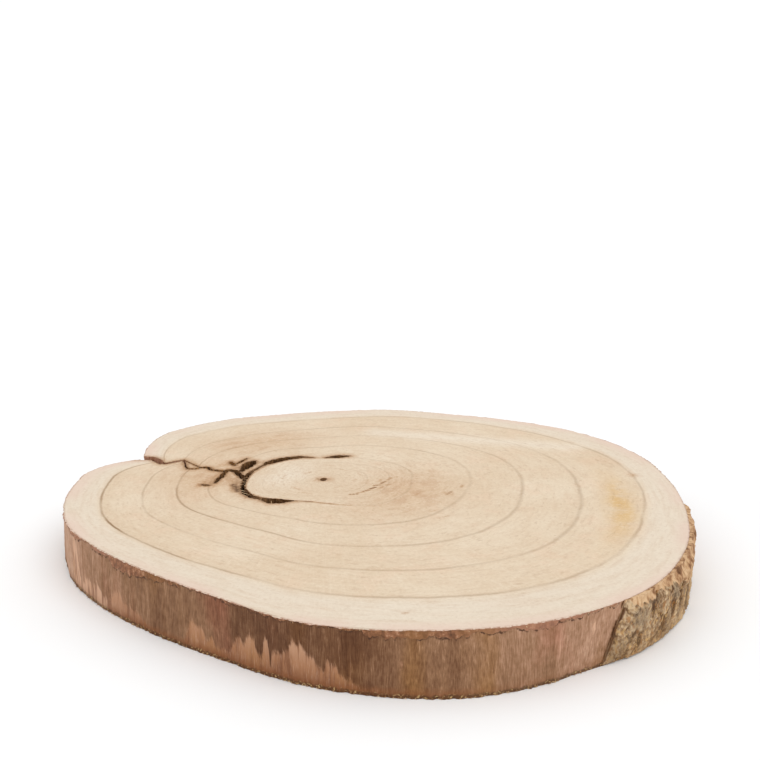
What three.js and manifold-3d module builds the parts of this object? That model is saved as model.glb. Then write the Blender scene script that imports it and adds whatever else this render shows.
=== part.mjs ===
// A wood slice: a round disc sawn across a tree trunk, wider to one side of the pith than to the other.
// Its rim has been peeled down to the brown inner bark, and one strip of rough outer bark is left on it.
// A crack runs in from a notch in the rim to a ring shake, a split along a growth ring round the core.
// Millimetres, +Z up. The slice lies on its lower sawn face, with the origin under its middle.

import * as THREE from "three";
import { mergeVertices } from "three/addons/utils/BufferGeometryUtils.js";
import Module from "manifold-3d";

const wasm = await Module();
wasm.setup();

// Driving dimensions. Places on the slice are measured from the pith, angles in degrees from +X.
const THICKNESS = 30;
const PITH = new THREE.Vector2(-28.3, 28.9);
const PITH_HOLE_RADIUS = 2.3;
const PITH_HOLE_SIDES = 14;

// How far the rim of the upper face is from the pith, every 15 degrees, the first at -180.
const RIM_STEP = 15;
const RIM_RADII = [
  133.6, 138.3, 142.4, 143.6, 148.2, 160, 181.8, 195.5, 206.6, 209.6, 203, 194,
  187.8, 183.3, 173, 157.3, 144.6, 138.8, 131, 127.7, 129.6, 129.3, 129.5, 131.5,
];

// The heart-shaped notch in the rim at the mouth of the crack.
const NOTCH = { angle: 161, backReach: 24, frontReach: 14, depth: 22.5, sharpness: 1.45 };

// Where the wall leans: how far the lower edge stands out from the upper one, and over how wide an angle.
const LEANS = [
  { angle: -33, spread: 16, out: -3.2 },
  { angle: -54, spread: 6, out: -2.6 },
  { angle: -72, spread: 10, out: 4 },
  { angle: -93, spread: 8, out: -1.2 },
  { angle: -150, spread: 25, out: 1.2 },
];

// Upright furrows round the peeled wall.
const FURROWS = { waves: 9, fewest: 19, most: 57, depth: 0.32, seed: 7 };

// Where a knife took the brown skin off: tongues that rise from the lower edge, with their half widths.
const SCRAPE_DEPTH = 0.7;
const SCRAPE_FADE = { below: 5, above: 3 };
const SCRAPES = [
  { angle: -146, height: 26, half: 2.2 },
  { angle: -140, height: 12, half: 3.5 },
  { angle: -130, height: 14, half: 2.6 },
  { angle: -124, height: 7, half: 3 },
  { angle: -110, height: 16, half: 2.4 },
  { angle: -106, height: 11, half: 2 },
  { angle: -99.5, height: 17, half: 2.6 },
  { angle: -94.5, height: 15, half: 2.2 },
  { angle: -91, height: 20, half: 2.4 },
  { angle: -86.5, height: 14, half: 2.6 },
];

// The cracks, each as [x, y, half width] along its line on the upper face.
const RADIAL_CRACK = [
  [-114, 37, 4.8], [-104.5, 35.5, 4.6], [-98, 34.5, 4.3], [-93.5, 29, 2.6], [-90, 27, 1.4],
  [-86, 29.3, 1.2], [-81, 32.8, 1.2], [-79.2, 28, 1], [-78.2, 22.5, 1], [-76.5, 17.8, 1.1],
  [-72.2, 17.4, 1], [-69.5, 20, 1.1], [-65.5, 19.8, 1.2], [-62.8, 16, 1.2], [-58.8, 14.5, 1.3],
  [-55.3, 13.2, 1.5], [-52.8, 15.6, 1.3], [-49.3, 13.6, 1.3], [-47, 9, 1.3], [-44.5, 4, 1.3],
  [-43, -0.5, 1.3],
];
const RING_SHAKE = [
  [13.2, 40.3, 0.9], [8, 39.6, 2.7], [3, 38.4, 2.3], [0, 37.4, 0.7], [-4, 37, 0.6], [-9, 38, 0.8],
  [-15, 38.5, 2], [-22, 36, 2.3], [-28, 32, 2.6], [-33, 27, 2.6], [-37, 20, 2], [-40.5, 12, 1.5],
  [-43, 4, 1.6], [-43.6, -3, 1.6], [-43.8, -9, 1.3], [-43, -16, 1.5], [-41, -22.5, 1.8],
  [-37.5, -27, 1.8], [-32, -30.3, 1.7], [-28.5, -32.5, 2.6], [-25, -34, 3.8], [-20, -34.3, 2.6],
  [-16, -33.8, 0.9], [-8, -34.7, 0.6], [0, -37, 0.6], [6, -38.4, 0.5], [12, -39.3, 0.4],
];
// Splits that do not reach the lower face, each with its depth.
const SHALLOW_SPLITS = [
  { depth: 12, line: [[-54.8, 12.6, 1], [-56, 4.5, 1.2], [-57.8, -1.5, 1.2], [-58.6, -6, 0.5]] },
  { depth: 6, line: [[-80.5, 33.2, 0.5], [-76, 27.5, 0.5], [-70.8, 21.5, 0.5]] },
  { depth: 8, line: [[-53.8, 31.5, 0.6], [-53, 28, 1.6], [-52, 24.5, 1.3], [-51.3, 21.5, 0.5]] },
  { depth: 6, line: [[-50, 26, 0.4], [-47.8, 30.4, 0.8], [-45, 36, 0.4]] },
  {
    depth: 14,
    line: [[-40.5, 33.5, 0.8], [-42, 29.5, 2.8], [-43.8, 24, 2.2], [-44.8, 19, 1.2], [-45.2, 14.5, 0.6]],
  },
  { depth: 5, line: [[-64.2, -6, 0.5], [-64, -9.5, 1], [-63.8, -12, 0.4]] },
];

// The strip of outer bark: the angles it spans, and how thick it is.
const BARK = { from: -50, to: -11, bottom: 0.8, top: 29.4, thickness: 4.5, gap: 0.3 };
const BARK_BEVEL = { height: 23.5, wander: 1.6, lip: 1.5 };
const BARK_ENDS = { nearSlant: -3.2, farSlant: -5, ragged: 0.5, taper: 3, thin: 2 };
// How many degrees past its ends the wall stays smooth under the bark, and where its relief is back in full.
const BARK_SEAT = { flat: 4, faded: 8 };
const BARK_RIDGES = { waves: 6, fewest: 34, most: 96, depth: 0.75, climb: 9, seed: 21 };

// How finely the curved walls are divided.
const RIM_SIDES = 240;
const WALL_STEPS = 5;
const BARK_COLUMNS = 38;
const BARK_ROWS = 10;
const CUT_CLEARANCE = 1;
const WALL_TOLERANCE = 1;

const CUT_FACE_COLOUR = "#e6d3b6";
const INNER_BARK_COLOUR = "#87634f";
const CRACK_COLOUR = "#5a3f26";
const BARK_COLOUR = "#917556";

// Signed angle from one direction to another, within half a turn.
function turnBetween(from, to) {
  return THREE.MathUtils.euclideanModulo(to - from + 180, 360) - 180;
}

function bump(distance, spread) {
  return Math.exp(-((distance / spread) ** 2));
}

// Sine waves of drawn frequency and phase, which add up to an uneven swell of about unit height.
function drawWaves({ waves, fewest, most, seed }) {
  THREE.MathUtils.seededRandom(seed);
  return Array.from({ length: waves }, () => ({
    cycles: Math.round(THREE.MathUtils.lerp(fewest, most, THREE.MathUtils.seededRandom())),
    phase: 2 * Math.PI * THREE.MathUtils.seededRandom(),
  }));
}

function swell(waves, angle, shift = 0) {
  const radians = THREE.MathUtils.degToRad(angle);
  const heights = waves.map(({ cycles, phase }) => Math.sin(cycles * radians + phase + shift));
  return heights.reduce((sum, height) => sum + height, 0) / Math.sqrt(waves.length);
}

const furrowWaves = drawWaves(FURROWS);
const barkWaves = drawWaves(BARK_RIDGES);

// The radii run on past both ends, so that the curve closes smoothly.
const wrappedRadii = [RIM_RADII.at(-1), ...RIM_RADII, RIM_RADII[0], RIM_RADII[1]];
const rimSpline = new THREE.SplineCurve(wrappedRadii.map((radius, i) => new THREE.Vector2(i, radius)));

// Distance from the pith to the rim of the upper face.
function rimRadius(angle) {
  const steps = THREE.MathUtils.euclideanModulo(angle + 180, 360) / RIM_STEP;
  const smooth = rimSpline.getPoint((steps + 1) / (rimSpline.points.length - 1)).y;
  const aside = turnBetween(NOTCH.angle, angle);
  const reach = aside < 0 ? NOTCH.backReach : NOTCH.frontReach;
  const share = Math.max(0, 1 - Math.abs(aside) / reach);
  return smooth - NOTCH.depth * share ** NOTCH.sharpness;
}

// How far the strip of bark covers the wall at an angle, from 0 to 1.
function underBark(angle) {
  const middle = (BARK.from + BARK.to) / 2;
  const half = (BARK.to - BARK.from) / 2;
  const outside = Math.abs(turnBetween(middle, angle)) - half;
  return 1 - THREE.MathUtils.smoothstep(outside, BARK_SEAT.flat, BARK_SEAT.faded);
}

// How deep the knife went into the wall.
function scrapeDepth(angle, height) {
  const cuts = SCRAPES.map((scrape) => {
    const width = bump(turnBetween(scrape.angle, angle), scrape.half);
    const fadeStart = scrape.height - SCRAPE_FADE.below;
    const fadeEnd = scrape.height + SCRAPE_FADE.above;
    return width * (1 - THREE.MathUtils.smoothstep(height, fadeStart, fadeEnd));
  });
  return SCRAPE_DEPTH * Math.max(...cuts);
}

// Distance from the pith to the wall at any height: the rim, its lean, the furrows and the knife scrapes.
function wallRadius(angle, height) {
  const leans = LEANS.map((lean) => lean.out * bump(turnBetween(lean.angle, angle), lean.spread));
  const lowerEdge = leans.reduce((sum, out) => sum + out, 0);
  const relief = FURROWS.depth * swell(furrowWaves, angle) - scrapeDepth(angle, height);
  return rimRadius(angle) + lowerEdge * (1 - height / THICKNESS) + relief * (1 - underBark(angle));
}

// Moves every vertex of a geometry by a rule that changes the point it is given.
function warp(geometry, rule) {
  const places = geometry.attributes.position;
  const point = new THREE.Vector3();
  for (let i = 0; i < places.count; i += 1) {
    rule(point.fromBufferAttribute(places, i));
    places.setXYZ(i, point.x, point.y, point.z);
  }
  return geometry;
}

function toSolid(geometry) {
  const bare = geometry.clone();
  bare.deleteAttribute("normal");
  bare.deleteAttribute("uv");
  const welded = mergeVertices(bare);
  return new wasm.Manifold(new wasm.Mesh({
    numProp: 3,
    vertProperties: new Float32Array(welded.attributes.position.array),
    triVerts: new Uint32Array(welded.index.array),
  }));
}

function toGeometry(solid) {
  const { vertProperties, triVerts } = solid.getMesh();
  const geometry = new THREE.BufferGeometry();
  geometry.setAttribute("position", new THREE.BufferAttribute(vertProperties, 3));
  geometry.setIndex(new THREE.BufferAttribute(triVerts, 1));
  const faceted = geometry.toNonIndexed();
  faceted.computeVertexNormals();
  return faceted;
}

// An upright slab under a closed outline, between two heights.
function slab(outline, bottom, top, steps = 1) {
  const settings = { depth: top - bottom, steps, bevelEnabled: false };
  return new THREE.ExtrudeGeometry(new THREE.Shape(outline), settings).translate(0, 0, bottom);
}

// The outline of a crack: its line, widened to both sides by the half width at each point.
function crackOutline(line) {
  const points = line.map(([x, y]) => new THREE.Vector2(x, y));
  const sides = points.map((point, i) => {
    const before = points[Math.max(i - 1, 0)];
    const after = points[Math.min(i + 1, points.length - 1)];
    const across = after.clone().sub(before).normalize().multiplyScalar(line[i][2]);
    return new THREE.Vector2(-across.y, across.x);
  });
  const left = points.map((point, i) => point.clone().add(sides[i]));
  const right = points.map((point, i) => point.clone().sub(sides[i]));
  return [...left, ...right.reverse()];
}

function crackCutter(line, bottom) {
  return toSolid(slab(crackOutline(line), bottom, THICKNESS + CUT_CLEARANCE));
}

function pithHoleCutter() {
  const height = THICKNESS + 2 * CUT_CLEARANCE;
  const hole = new THREE.CylinderGeometry(PITH_HOLE_RADIUS, PITH_HOLE_RADIUS, height, PITH_HOLE_SIDES);
  return toSolid(hole.rotateX(Math.PI / 2).translate(0, 0, THICKNESS / 2));
}

function trunkDisc() {
  const outline = Array.from({ length: RIM_SIDES }, (_, i) => {
    const angle = NOTCH.angle + (i * 360) / RIM_SIDES;
    const direction = THREE.MathUtils.degToRad(angle);
    const radius = rimRadius(angle);
    return new THREE.Vector2(radius * Math.cos(direction), radius * Math.sin(direction));
  });
  const disc = slab(outline, 0, THICKNESS, WALL_STEPS);
  return toSolid(warp(disc, (point) => {
    const angle = THREE.MathUtils.radToDeg(Math.atan2(point.y, point.x));
    const stretch = wallRadius(angle, point.z) / rimRadius(angle);
    point.set(point.x * stretch, point.y * stretch, point.z);
  }));
}

// The sawn faces are pale, the outer wall is brown inner bark, and the walls of the cracks are dark.
function paintSlice(geometry) {
  const places = geometry.attributes.position;
  const normals = geometry.attributes.normal;
  const shades = [CUT_FACE_COLOUR, INNER_BARK_COLOUR, CRACK_COLOUR].map((colour) => new THREE.Color(colour));
  const colours = new Float32Array(places.count * 3);
  for (let i = 0; i < places.count; i += 3) {
    const x = (places.getX(i) + places.getX(i + 1) + places.getX(i + 2)) / 3;
    const y = (places.getY(i) + places.getY(i + 1) + places.getY(i + 2)) / 3;
    const z = (places.getZ(i) + places.getZ(i + 1) + places.getZ(i + 2)) / 3;
    const angle = THREE.MathUtils.radToDeg(Math.atan2(y, x));
    const onWall = wallRadius(angle, z) - Math.hypot(x, y) < WALL_TOLERANCE;
    const shade = Math.abs(normals.getZ(i)) > Math.SQRT1_2 ? shades[0] : shades[onWall ? 1 : 2];
    for (let corner = i; corner < i + 3; corner += 1) {
      shade.toArray(colours, corner * 3);
    }
  }
  geometry.setAttribute("color", new THREE.BufferAttribute(colours, 3));
  return geometry;
}

function woodSlice() {
  const through = [RADIAL_CRACK, RING_SHAKE].map((line) => crackCutter(line, -CUT_CLEARANCE));
  const shallow = SHALLOW_SPLITS.map(({ depth, line }) => crackCutter(line, THICKNESS - depth));
  const cutters = [...through, ...shallow, pithHoleCutter()];
  const solid = cutters.reduce((rest, cutter) => rest.subtract(cutter), trunkDisc());
  const material = new THREE.MeshStandardMaterial({ vertexColors: true, roughness: 0.75, metalness: 0 });
  const mesh = new THREE.Mesh(paintSlice(toGeometry(solid)), material);
  mesh.name = "wood_slice";
  return mesh;
}

// How far the outside of the bark stands from the wall, with its broken upper edge, thin ends and ridges.
function barkThickness(angle, height, endDistance) {
  const bevelStart = BARK_BEVEL.height + BARK_BEVEL.wander * swell(barkWaves, angle / 2);
  const bevel = THREE.MathUtils.smoothstep(height, bevelStart, BARK.top);
  const full = THREE.MathUtils.lerp(BARK.thickness, BARK_BEVEL.lip, bevel);
  const taper = THREE.MathUtils.smoothstep(endDistance, 0, BARK_ENDS.taper);
  const ridges = BARK_RIDGES.depth * swell(barkWaves, angle, height / BARK_RIDGES.climb);
  return THREE.MathUtils.lerp(BARK_ENDS.thin, full, taper) + ridges * taper * (1 - bevel);
}

// A block is bent round the wall: its X runs along the strip, its Y out from the wall and its Z up.
function barkPatch() {
  const block = new THREE.BoxGeometry(1, 1, 1, BARK_COLUMNS, 1, BARK_ROWS);
  warp(block, (point) => {
    const height = THREE.MathUtils.lerp(BARK.bottom, BARK.top, point.z + 0.5);
    const down = 1 - height / THICKNESS;
    const near = BARK.from + BARK_ENDS.nearSlant * down + BARK_ENDS.ragged * Math.sin(height);
    const far = BARK.to + BARK_ENDS.farSlant * down + BARK_ENDS.ragged * Math.cos(height);
    const angle = THREE.MathUtils.lerp(near, far, point.x + 0.5);
    const endDistance = Math.min(angle - near, far - angle);
    const inner = wallRadius(angle, height) + BARK.gap;
    const radius = point.y > 0 ? inner : inner + barkThickness(angle, height, endDistance);
    const direction = THREE.MathUtils.degToRad(angle);
    point.set(radius * Math.cos(direction), radius * Math.sin(direction), height);
  });
  const material = new THREE.MeshStandardMaterial({ color: BARK_COLOUR, roughness: 0.95, metalness: 0 });
  const mesh = new THREE.Mesh(toGeometry(toSolid(block)), material);
  mesh.name = "bark_patch";
  return mesh;
}

const slice = new THREE.Group();
slice.add(woodSlice(), barkPatch());
slice.position.set(PITH.x, PITH.y, 0);

export default slice;
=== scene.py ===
import math

import bmesh
import bpy
import numpy as np
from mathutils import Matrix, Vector, noise


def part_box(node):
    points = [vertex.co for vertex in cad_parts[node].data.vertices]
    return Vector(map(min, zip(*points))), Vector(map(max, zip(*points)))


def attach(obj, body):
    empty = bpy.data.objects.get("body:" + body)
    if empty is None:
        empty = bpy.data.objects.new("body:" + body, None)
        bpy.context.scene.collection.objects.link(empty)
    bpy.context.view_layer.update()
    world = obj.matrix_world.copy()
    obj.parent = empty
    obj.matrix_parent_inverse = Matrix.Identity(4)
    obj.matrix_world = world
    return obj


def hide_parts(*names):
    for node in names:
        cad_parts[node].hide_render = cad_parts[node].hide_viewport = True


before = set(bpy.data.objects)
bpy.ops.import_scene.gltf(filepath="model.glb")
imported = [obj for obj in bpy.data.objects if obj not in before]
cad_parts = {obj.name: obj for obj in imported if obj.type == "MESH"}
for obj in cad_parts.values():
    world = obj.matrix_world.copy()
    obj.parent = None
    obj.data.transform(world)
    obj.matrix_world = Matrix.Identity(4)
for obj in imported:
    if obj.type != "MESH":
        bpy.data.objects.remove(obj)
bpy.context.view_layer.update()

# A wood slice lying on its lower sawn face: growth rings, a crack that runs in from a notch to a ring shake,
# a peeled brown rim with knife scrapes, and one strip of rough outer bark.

MM = 0.001

# Sizes are in millimetres, places are measured from the pith at the lower face, angles in degrees from +X.
# Meshes are moved to the frame's origin and scaled to metres when they are made.
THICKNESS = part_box("wood_slice")[1].z / MM
PITH = np.array([-28.3, 28.9])
PITH_HOLE = 2.2
PITH_HOLE_OVAL = 0.22
PITH_HOLE_TURN = 20

# The rim of the upper face, every 15 degrees from -180, and the heart-shaped notch at the crack's mouth.
RIM_RADII = [
    133.1, 137.9, 142.4, 143.6, 148.2, 160.0, 181.8, 195.5, 206.6, 209.6, 203.0, 194.0,
    187.8, 183.3, 173.0, 157.3, 144.6, 138.8, 131.0, 127.7, 129.6, 129.3, 129.5, 131.5,
]
NOTCH_ANGLE = 161.0
NOTCH_BACK_REACH = 24.0
NOTCH_FRONT_REACH = 17.5
NOTCH_DEPTH = 21.6
NOTCH_BACK_SHARPNESS = 1.45
NOTCH_FRONT_SHARPNESS = 1.85

# How far the lower edge of the wall stands out from the upper one: angle, spread, distance.
WALL_LEANS = [
    (-33, 16, -3.2), (-54, 6, -2.6), (-73.5, 9.2, 4.0), (-93, 8, -1.2), (-122, 20, 1.3), (-150, 9, -0.8),
    (-173, 12, 2.8),
]

# Growth rings outside the core, as shares of the way from pith to rim every 30 degrees from -180,
# each with the share of the notch that it follows.
GROWTH_RINGS = [
    ([0.323, 0.323, 0.270, 0.203, 0.223, 0.240, 0.255, 0.275, 0.285, 0.287, 0.310, 0.320], 0.0),
    ([0.455, 0.450, 0.403, 0.364, 0.369, 0.387, 0.427, 0.454, 0.470, 0.438, 0.456, 0.432], 0.1),
    ([0.586, 0.570, 0.530, 0.511, 0.519, 0.546, 0.575, 0.589, 0.603, 0.585, 0.588, 0.610], 0.35),
    ([0.707, 0.714, 0.694, 0.663, 0.676, 0.712, 0.730, 0.730, 0.730, 0.726, 0.720, 0.730], 0.6),
    ([0.868, 0.866, 0.856, 0.824, 0.838, 0.869, 0.909, 0.886, 0.905, 0.877, 0.880, 0.890], 1.0),
]
CORE_RINGS = 4
# How dark the ring lines are, by ring, and two rings whose lines are darker to one side: ring and boost.
RING_LINES = [(0, 0.15), (3.5, 0.22), (4.4, 0.26), (5, 0.34), (6, 0.36), (7, 0.36), (8, 0.42), (9, 0.3)]
DARK_LINES = [(8, 1.8), (6, 1.3)]
DARK_LINES_ANGLE = -155
DARK_LINES_SPREAD = 42
DARK_LINES_WIDTH = 0.4

# The cracks, each as (x, y, half width) along its line on the upper face.
RADIAL_CRACK = [
    (-116, 36.7, 2.9), (-104.5, 36.6, 2.6), (-99.5, 36.1, 2.4), (-97, 34.4, 2.1), (-94.6, 31.0, 1.8),
    (-92.4, 27.4, 1.5), (-90.2, 26.8, 0.9), (-86.4, 29.4, 0.65), (-81, 32.8, 0.6), (-79.2, 28, 0.38),
    (-78.2, 22.5, 0.38), (-76.5, 17.8, 0.6), (-72.2, 17.4, 0.6), (-69.5, 20, 1.0), (-65.5, 19.8, 1.3),
    (-62.8, 16, 1.0), (-58.8, 14.5, 1.1), (-55.3, 13.2, 1.5), (-52.8, 15.6, 1.5), (-49.3, 13.6, 1.7),
    (-47, 9, 1.7), (-44.5, 4, 1.6), (-43, -0.5, 1.3),
]
RING_SHAKE = [
    (-7, 37.4, 0.3), (-10, 38, 0.8), (-15, 38.5, 1.7), (-22, 36, 2.3), (-28, 32, 2.6), (-32.6, 27.4, 2.0),
    (-34.6, 24.2, 0.5), (-37, 20, 0.4), (-40, 13.5, 0.8), (-42.6, 4, 1.5), (-43, -3, 1.1),
    (-43.1, -9.5, 1.0), (-42.6, -15, 1.4), (-40.6, -21.5, 2.0), (-37.5, -27, 1.7), (-32, -30.3, 1.5),
    (-28.5, -32.5, 2.6), (-25, -34, 3.8), (-20, -34.3, 2.6), (-16.5, -33.6, 1.1), (-14, -33.4, 0.3),
]
# Splits that stop inside the wood: depth and line.
SHALLOW_SPLITS = [
    (12, [(-54.8, 12.6, 1.0), (-56, 4.5, 1.1), (-57.8, -1.5, 1.1), (-58.6, -6, 0.5)]),
    (6, [(-80.5, 33.2, 0.3), (-76, 27.5, 0.3), (-70.8, 21.5, 0.3)]),
    (8, [(-53.5, 30, 0.5), (-52.8, 27.5, 1.6), (-51.6, 25, 1.2), (-50.4, 23.4, 0.5)]),
    (6, [(-50, 26, 0.4), (-47.8, 30.4, 0.8), (-45, 36, 0.4)]),
    (25, [(-40.3, 31.8, 0.8), (-42.1, 27.6, 3.1), (-44, 22, 3.0), (-45.5, 17, 1.7), (-46.2, 13, 0.8)]),
    (4, [(-65.6, -8.4, 0.5), (-64, -9.2, 1.4), (-62, -9.6, 0.8), (-60.8, -9.6, 0.3)]),
    (7, [
        (13.2, 40.3, 0.5), (10, 40, 1.5), (8, 39.6, 2.3), (4.5, 38.8, 2.0), (1.5, 37.9, 0.8),
        (-0.5, 37.4, 0.3),
    ]),
]
# The blades that cut the cracks: spacing of their points, reach over which their heading is smoothed,
# depths of their outlines, the share that they narrow by on the way down, and how far they drift and widen.
BLADE_SPACING = 0.6
BLADE_REACH = 1.8
BLADE_DEPTHS = [-1.0, 0.0, 1.0, 2.5, 5.0, 9.0, 14.0, 20.0, 26.0]
BLADE_NARROWING = 0.45
BLADE_DRIFT = 0.9
BLADE_THINNEST = 0.14
MOUTH_WIDENING = 0.15
MOUTH_DEPTH = 0.8
# Ragged edges of a blade: share of its width, length along it, length down it, step between its two sides.
BLADE_RAGS = [(0.6, 2.4, 7.0, 3.3), (0.5, 1.1, 2.5, 5.1)]
RAGGED_MOST = 1.4
BELOW_SLICE = -1.0

# Short brown flecks on the upper face: x and y of the middle, length, angle, strength.
FLECKS = [
    (16.8, -23.6, 3.5, 12, 0.9), (20.6, -20.8, 3, 25, 0.6), (23.4, -18.2, 3.5, 35, 0.85),
    (27.0, -14.0, 3, 40, 0.95), (29.2, -9.6, 3, 20, 0.8), (31.5, -13.0, 2.5, 60, 0.6),
    (32.6, -5.0, 3.5, 55, 0.9), (35.5, -8.5, 2.5, 30, 0.6), (35.8, 0.5, 3, 60, 0.7),
    (38.5, 3.5, 3, 20, 0.5), (31.0, -1.5, 2.5, 80, 0.5), (17.0, -1.0, 3, 70, 0.4),
    (67.4, -21.8, 4, 55, 0.75), (74.9, -10.7, 3, 75, 0.6), (50.4, -23.3, 5, 60, 0.4),
    (57.9, -48.8, 5, 35, 0.35), (62.6, -57.4, 6, 30, 0.35), (170.0, 7.3, 3, 80, 0.5),
    (41.5, -172.0, 2.0, 10, 0.5), (-14.5, -14.0, 5, -40, 0.45), (-9.0, 11.0, 4, 40, 0.45),
    (11.0, 15.5, 5, -35, 0.35), (8.5, -12.0, 4, 35, 0.4), (-22, 4, 5, 80, 0.35), (20, 8, 5, -65, 0.35),
    (24, -4, 6, 85, 0.4), (-8, -22, 5, -20, 0.35), (2, 24, 6, -5, 0.35), (-4, 37.3, 9, 6, 0.6),
    (1, -37.0, 12, -17, 0.7), (11, -39.6, 9, -8, 0.5), (-9.5, -34.3, 10, -10, 0.8),
]
FLECK_HALF_WIDTH = 1.1
# The brown stain along the cracks, and how far it reaches outside and inside the core.
CRACK_STAIN = 0.8
CRACK_HALO = 3.0
CORE_CRACK_HALO = 0.6
# Brown smears on the upper face beside the cracks: from, to, half width, strength.
SMEARS = [
    ((-48, -9), (-45, -19), 2.8, 0.95), ((-55, 8), (-47, -8), 4.5, 0.5),
    ((-47, 4), (-46.5, -8), 2.5, 0.6), ((-52, 16), (-46, 23), 3.5, 0.6),
    ((-41, 13), (-33.5, 25), 2.2, 0.9), ((-58, 24), (-46, 30), 5, 0.4), ((-64, -4), (-60, -7), 4, 0.5),
    ((-66, -9), (-60, -9.5), 1.8, 0.75), ((-41, -26), (-33, -33), 3, 0.5),
    ((-37, 29), (-30, 34), 3.5, 0.5), ((-1.5, 0), (1.5, 0), 4.5, 0.65), ((66, -22), (68, -22), 4, 0.35),
    ((169, 7), (171, 7), 4, 0.35), ((-90, 28), (-82, 32), 4, 0.4), ((-79, 22), (-70, 19), 5, 0.4),
    ((-67, 20), (-57, 15), 4, 0.45), ((-24, -37), (-16, -36), 3, 0.4), ((4, 41), (12, 42), 3, 0.4),
    ((-90, 27.5), (-81.5, 32.5), 1.6, 0.7), ((-80, 31), (-77.5, 19), 1.4, 0.6),
    ((-77, 17.5), (-70, 19.5), 1.6, 0.7), ((-80.5, 33), (-71, 21.5), 1.2, 0.6),
]
# Painted light on the crack walls: spots where a wall is painted a lighter brown, where light gets in,
# instead of dark: x, y, radius.
BROWNED_WALLS = [
    (-38.5, 17, 4.5), (-34, 26, 2.5), (-6, 37, 9), (2, 38, 2.5), (-43, -8, 4), (-33, -30, 4), (0, 0, 4),
]
# Washed-out streak across the rings, from and to, and its half width.
BLEACHED_STREAK = ((28, 86), (142, 57), 7.5)
# Washed-out, honey-coloured and tanned patches: middle angle, half angle, middle share of the radius and
# half share.
BLEACHED = [(160, 50, 0.17, 0.10)]
BLEACHED_LINES = 0.7
HONEY = [(-15, 15, 0.83, 0.036)]
TANNED = [(178, 28, 0.5, 0.17), (-20, 40, 0.25, 0.12), (120, 25, 0.6, 0.15)]

# The knife scrapes on the seen side: how high the bare wood rises from the lower edge at each angle.
SCRAPE_LINE = [
    (-150, 0), (-149, 12), (-147.5, 27), (-146.3, 25), (-145, 8), (-143.5, 6), (-141.7, 11),
    (-139.5, 8.5), (-137.1, 11.4), (-134.5, 7), (-132, 8), (-129.8, 14.5), (-128.4, 10.5), (-126, 8),
    (-124.7, 8.5), (-122.9, 6), (-120, 2.5), (-117, 0), (-113, 0), (-112, 1), (-111.7, 5), (-111.2, 8.5),
    (-110.4, 13.5), (-109.8, 14), (-109, 13), (-108, 12.4), (-107.5, 10.5), (-107.3, 6), (-106.6, 7.6),
    (-106, 10.5), (-105.5, 8.7), (-105.3, 5.5), (-104.2, 5.8), (-102.4, 6.4), (-102.2, 7.2), (-101.6, 11),
    (-101.2, 14), (-100.7, 15.8), (-100.3, 15), (-100, 11.3), (-99.6, 11.7), (-99.4, 14.2), (-98.8, 16.2),
    (-98.3, 17.6), (-98.1, 16), (-97.9, 11.6), (-97.2, 10.2), (-96.6, 9.4), (-96.4, 14.2), (-96.2, 17.5),
    (-95.9, 17.8), (-95.8, 14), (-95.7, 7), (-95.5, 5.4), (-95.2, 5.5), (-95, 12.6), (-94.6, 13.6),
    (-93.7, 13.7), (-93.1, 15.5), (-92.6, 17.3), (-92.3, 19), (-91.6, 18.8), (-91.1, 20.5), (-90.8, 19.6),
    (-90.5, 17), (-90, 15.3), (-89.5, 14.5), (-88.9, 12.4), (-88.3, 10.3), (-87.7, 9), (-87.5, 12.5),
    (-87.3, 15), (-87.1, 13.2), (-86.2, 12.4), (-86, 9), (-84.4, 6), (-83, 3), (-80, 1.5), (-78, 0),
]
# More scrapes round the back, drawn by rule: their angles, how many, and the ranges that are drawn from.
BACK_SCRAPES_FIRST = 20
BACK_SCRAPES_LAST = 200
BACK_SCRAPES_COUNT = 26
BACK_SCRAPES_FADE = 6
BACK_SCRAPE_WIDTHS = (0.8, 2.0)
BACK_SCRAPE_GAPS = (0, 5)
BACK_SCRAPE_TIPS = (4, 19)
# Small nicks in the skin: angle, height, half angle, half height.
RIM_NICKS = [(-57.4, 16.8, 0.3, 2.8), (-78.2, 15, 0.2, 2.2), (-53.6, 21.5, 0.3, 3.5), (-52.6, 19, 0.25, 4)]
NICK_DEPTH = 4.5
# One stroke of the knife: half width in degrees and how far its end rounds off. Then the skin: how thick it
# is, how far it laps over the scrapes, and how wide its edge slopes.
STROKE_HALF_WIDTH = 0.14
STROKE_ROUNDING = 1.2
STROKE_STEPS = 7
SKIN_THICKNESS = 0.4
SKIN_OVERLAP = 0.4
SKIN_EDGE = 1.2

# Flakes of red-brown bark left under the upper edge: angle, half angle, how far down they hang.
TOP_FLAKES = [
    (-127, 5.5, 7.0), (-120, 4, 4.0), (-115.5, 3, 2.4), (-136, 3, 2.6), (-80.5, 2.4, 4.4),
    (-76.6, 2.2, 4.8), (-72.3, 2.6, 4.4), (-68.4, 2.2, 2.6), (-65.4, 2.0, 2.8), (-61.6, 2.6, 4.0),
    (-57.5, 2.4, 1.8), (-147, 3, 3), (40, 6, 4.5), (75, 8, 5), (110, 5, 3.5), (-172, 5, 4), (140, 5, 4.6),
]
# How thick and lumpy the flakes are, the fringe between them, the share of their depth that hangs, and
# the power that rounds them.
FLAKE_THICKNESS = 0.55
FLAKE_LUMPINESS = 0.75
FLAKE_FRINGE = 0.7
FLAKE_HANG = 0.8
FLAKE_ROUNDING = 0.25
# The frayed upper edge and the chipped lower edge: middle angle, and half angles where they fade out.
FRAYED_FRONT = (-98, 42, 56)
FRAYED_BACK_SHARE = 0.2
CHIPPED_FRONT = (-88, 28, 42)
CHIPPED_BACK_SHARE = 0.3
CHIP_DEPTH = 1.3

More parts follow.
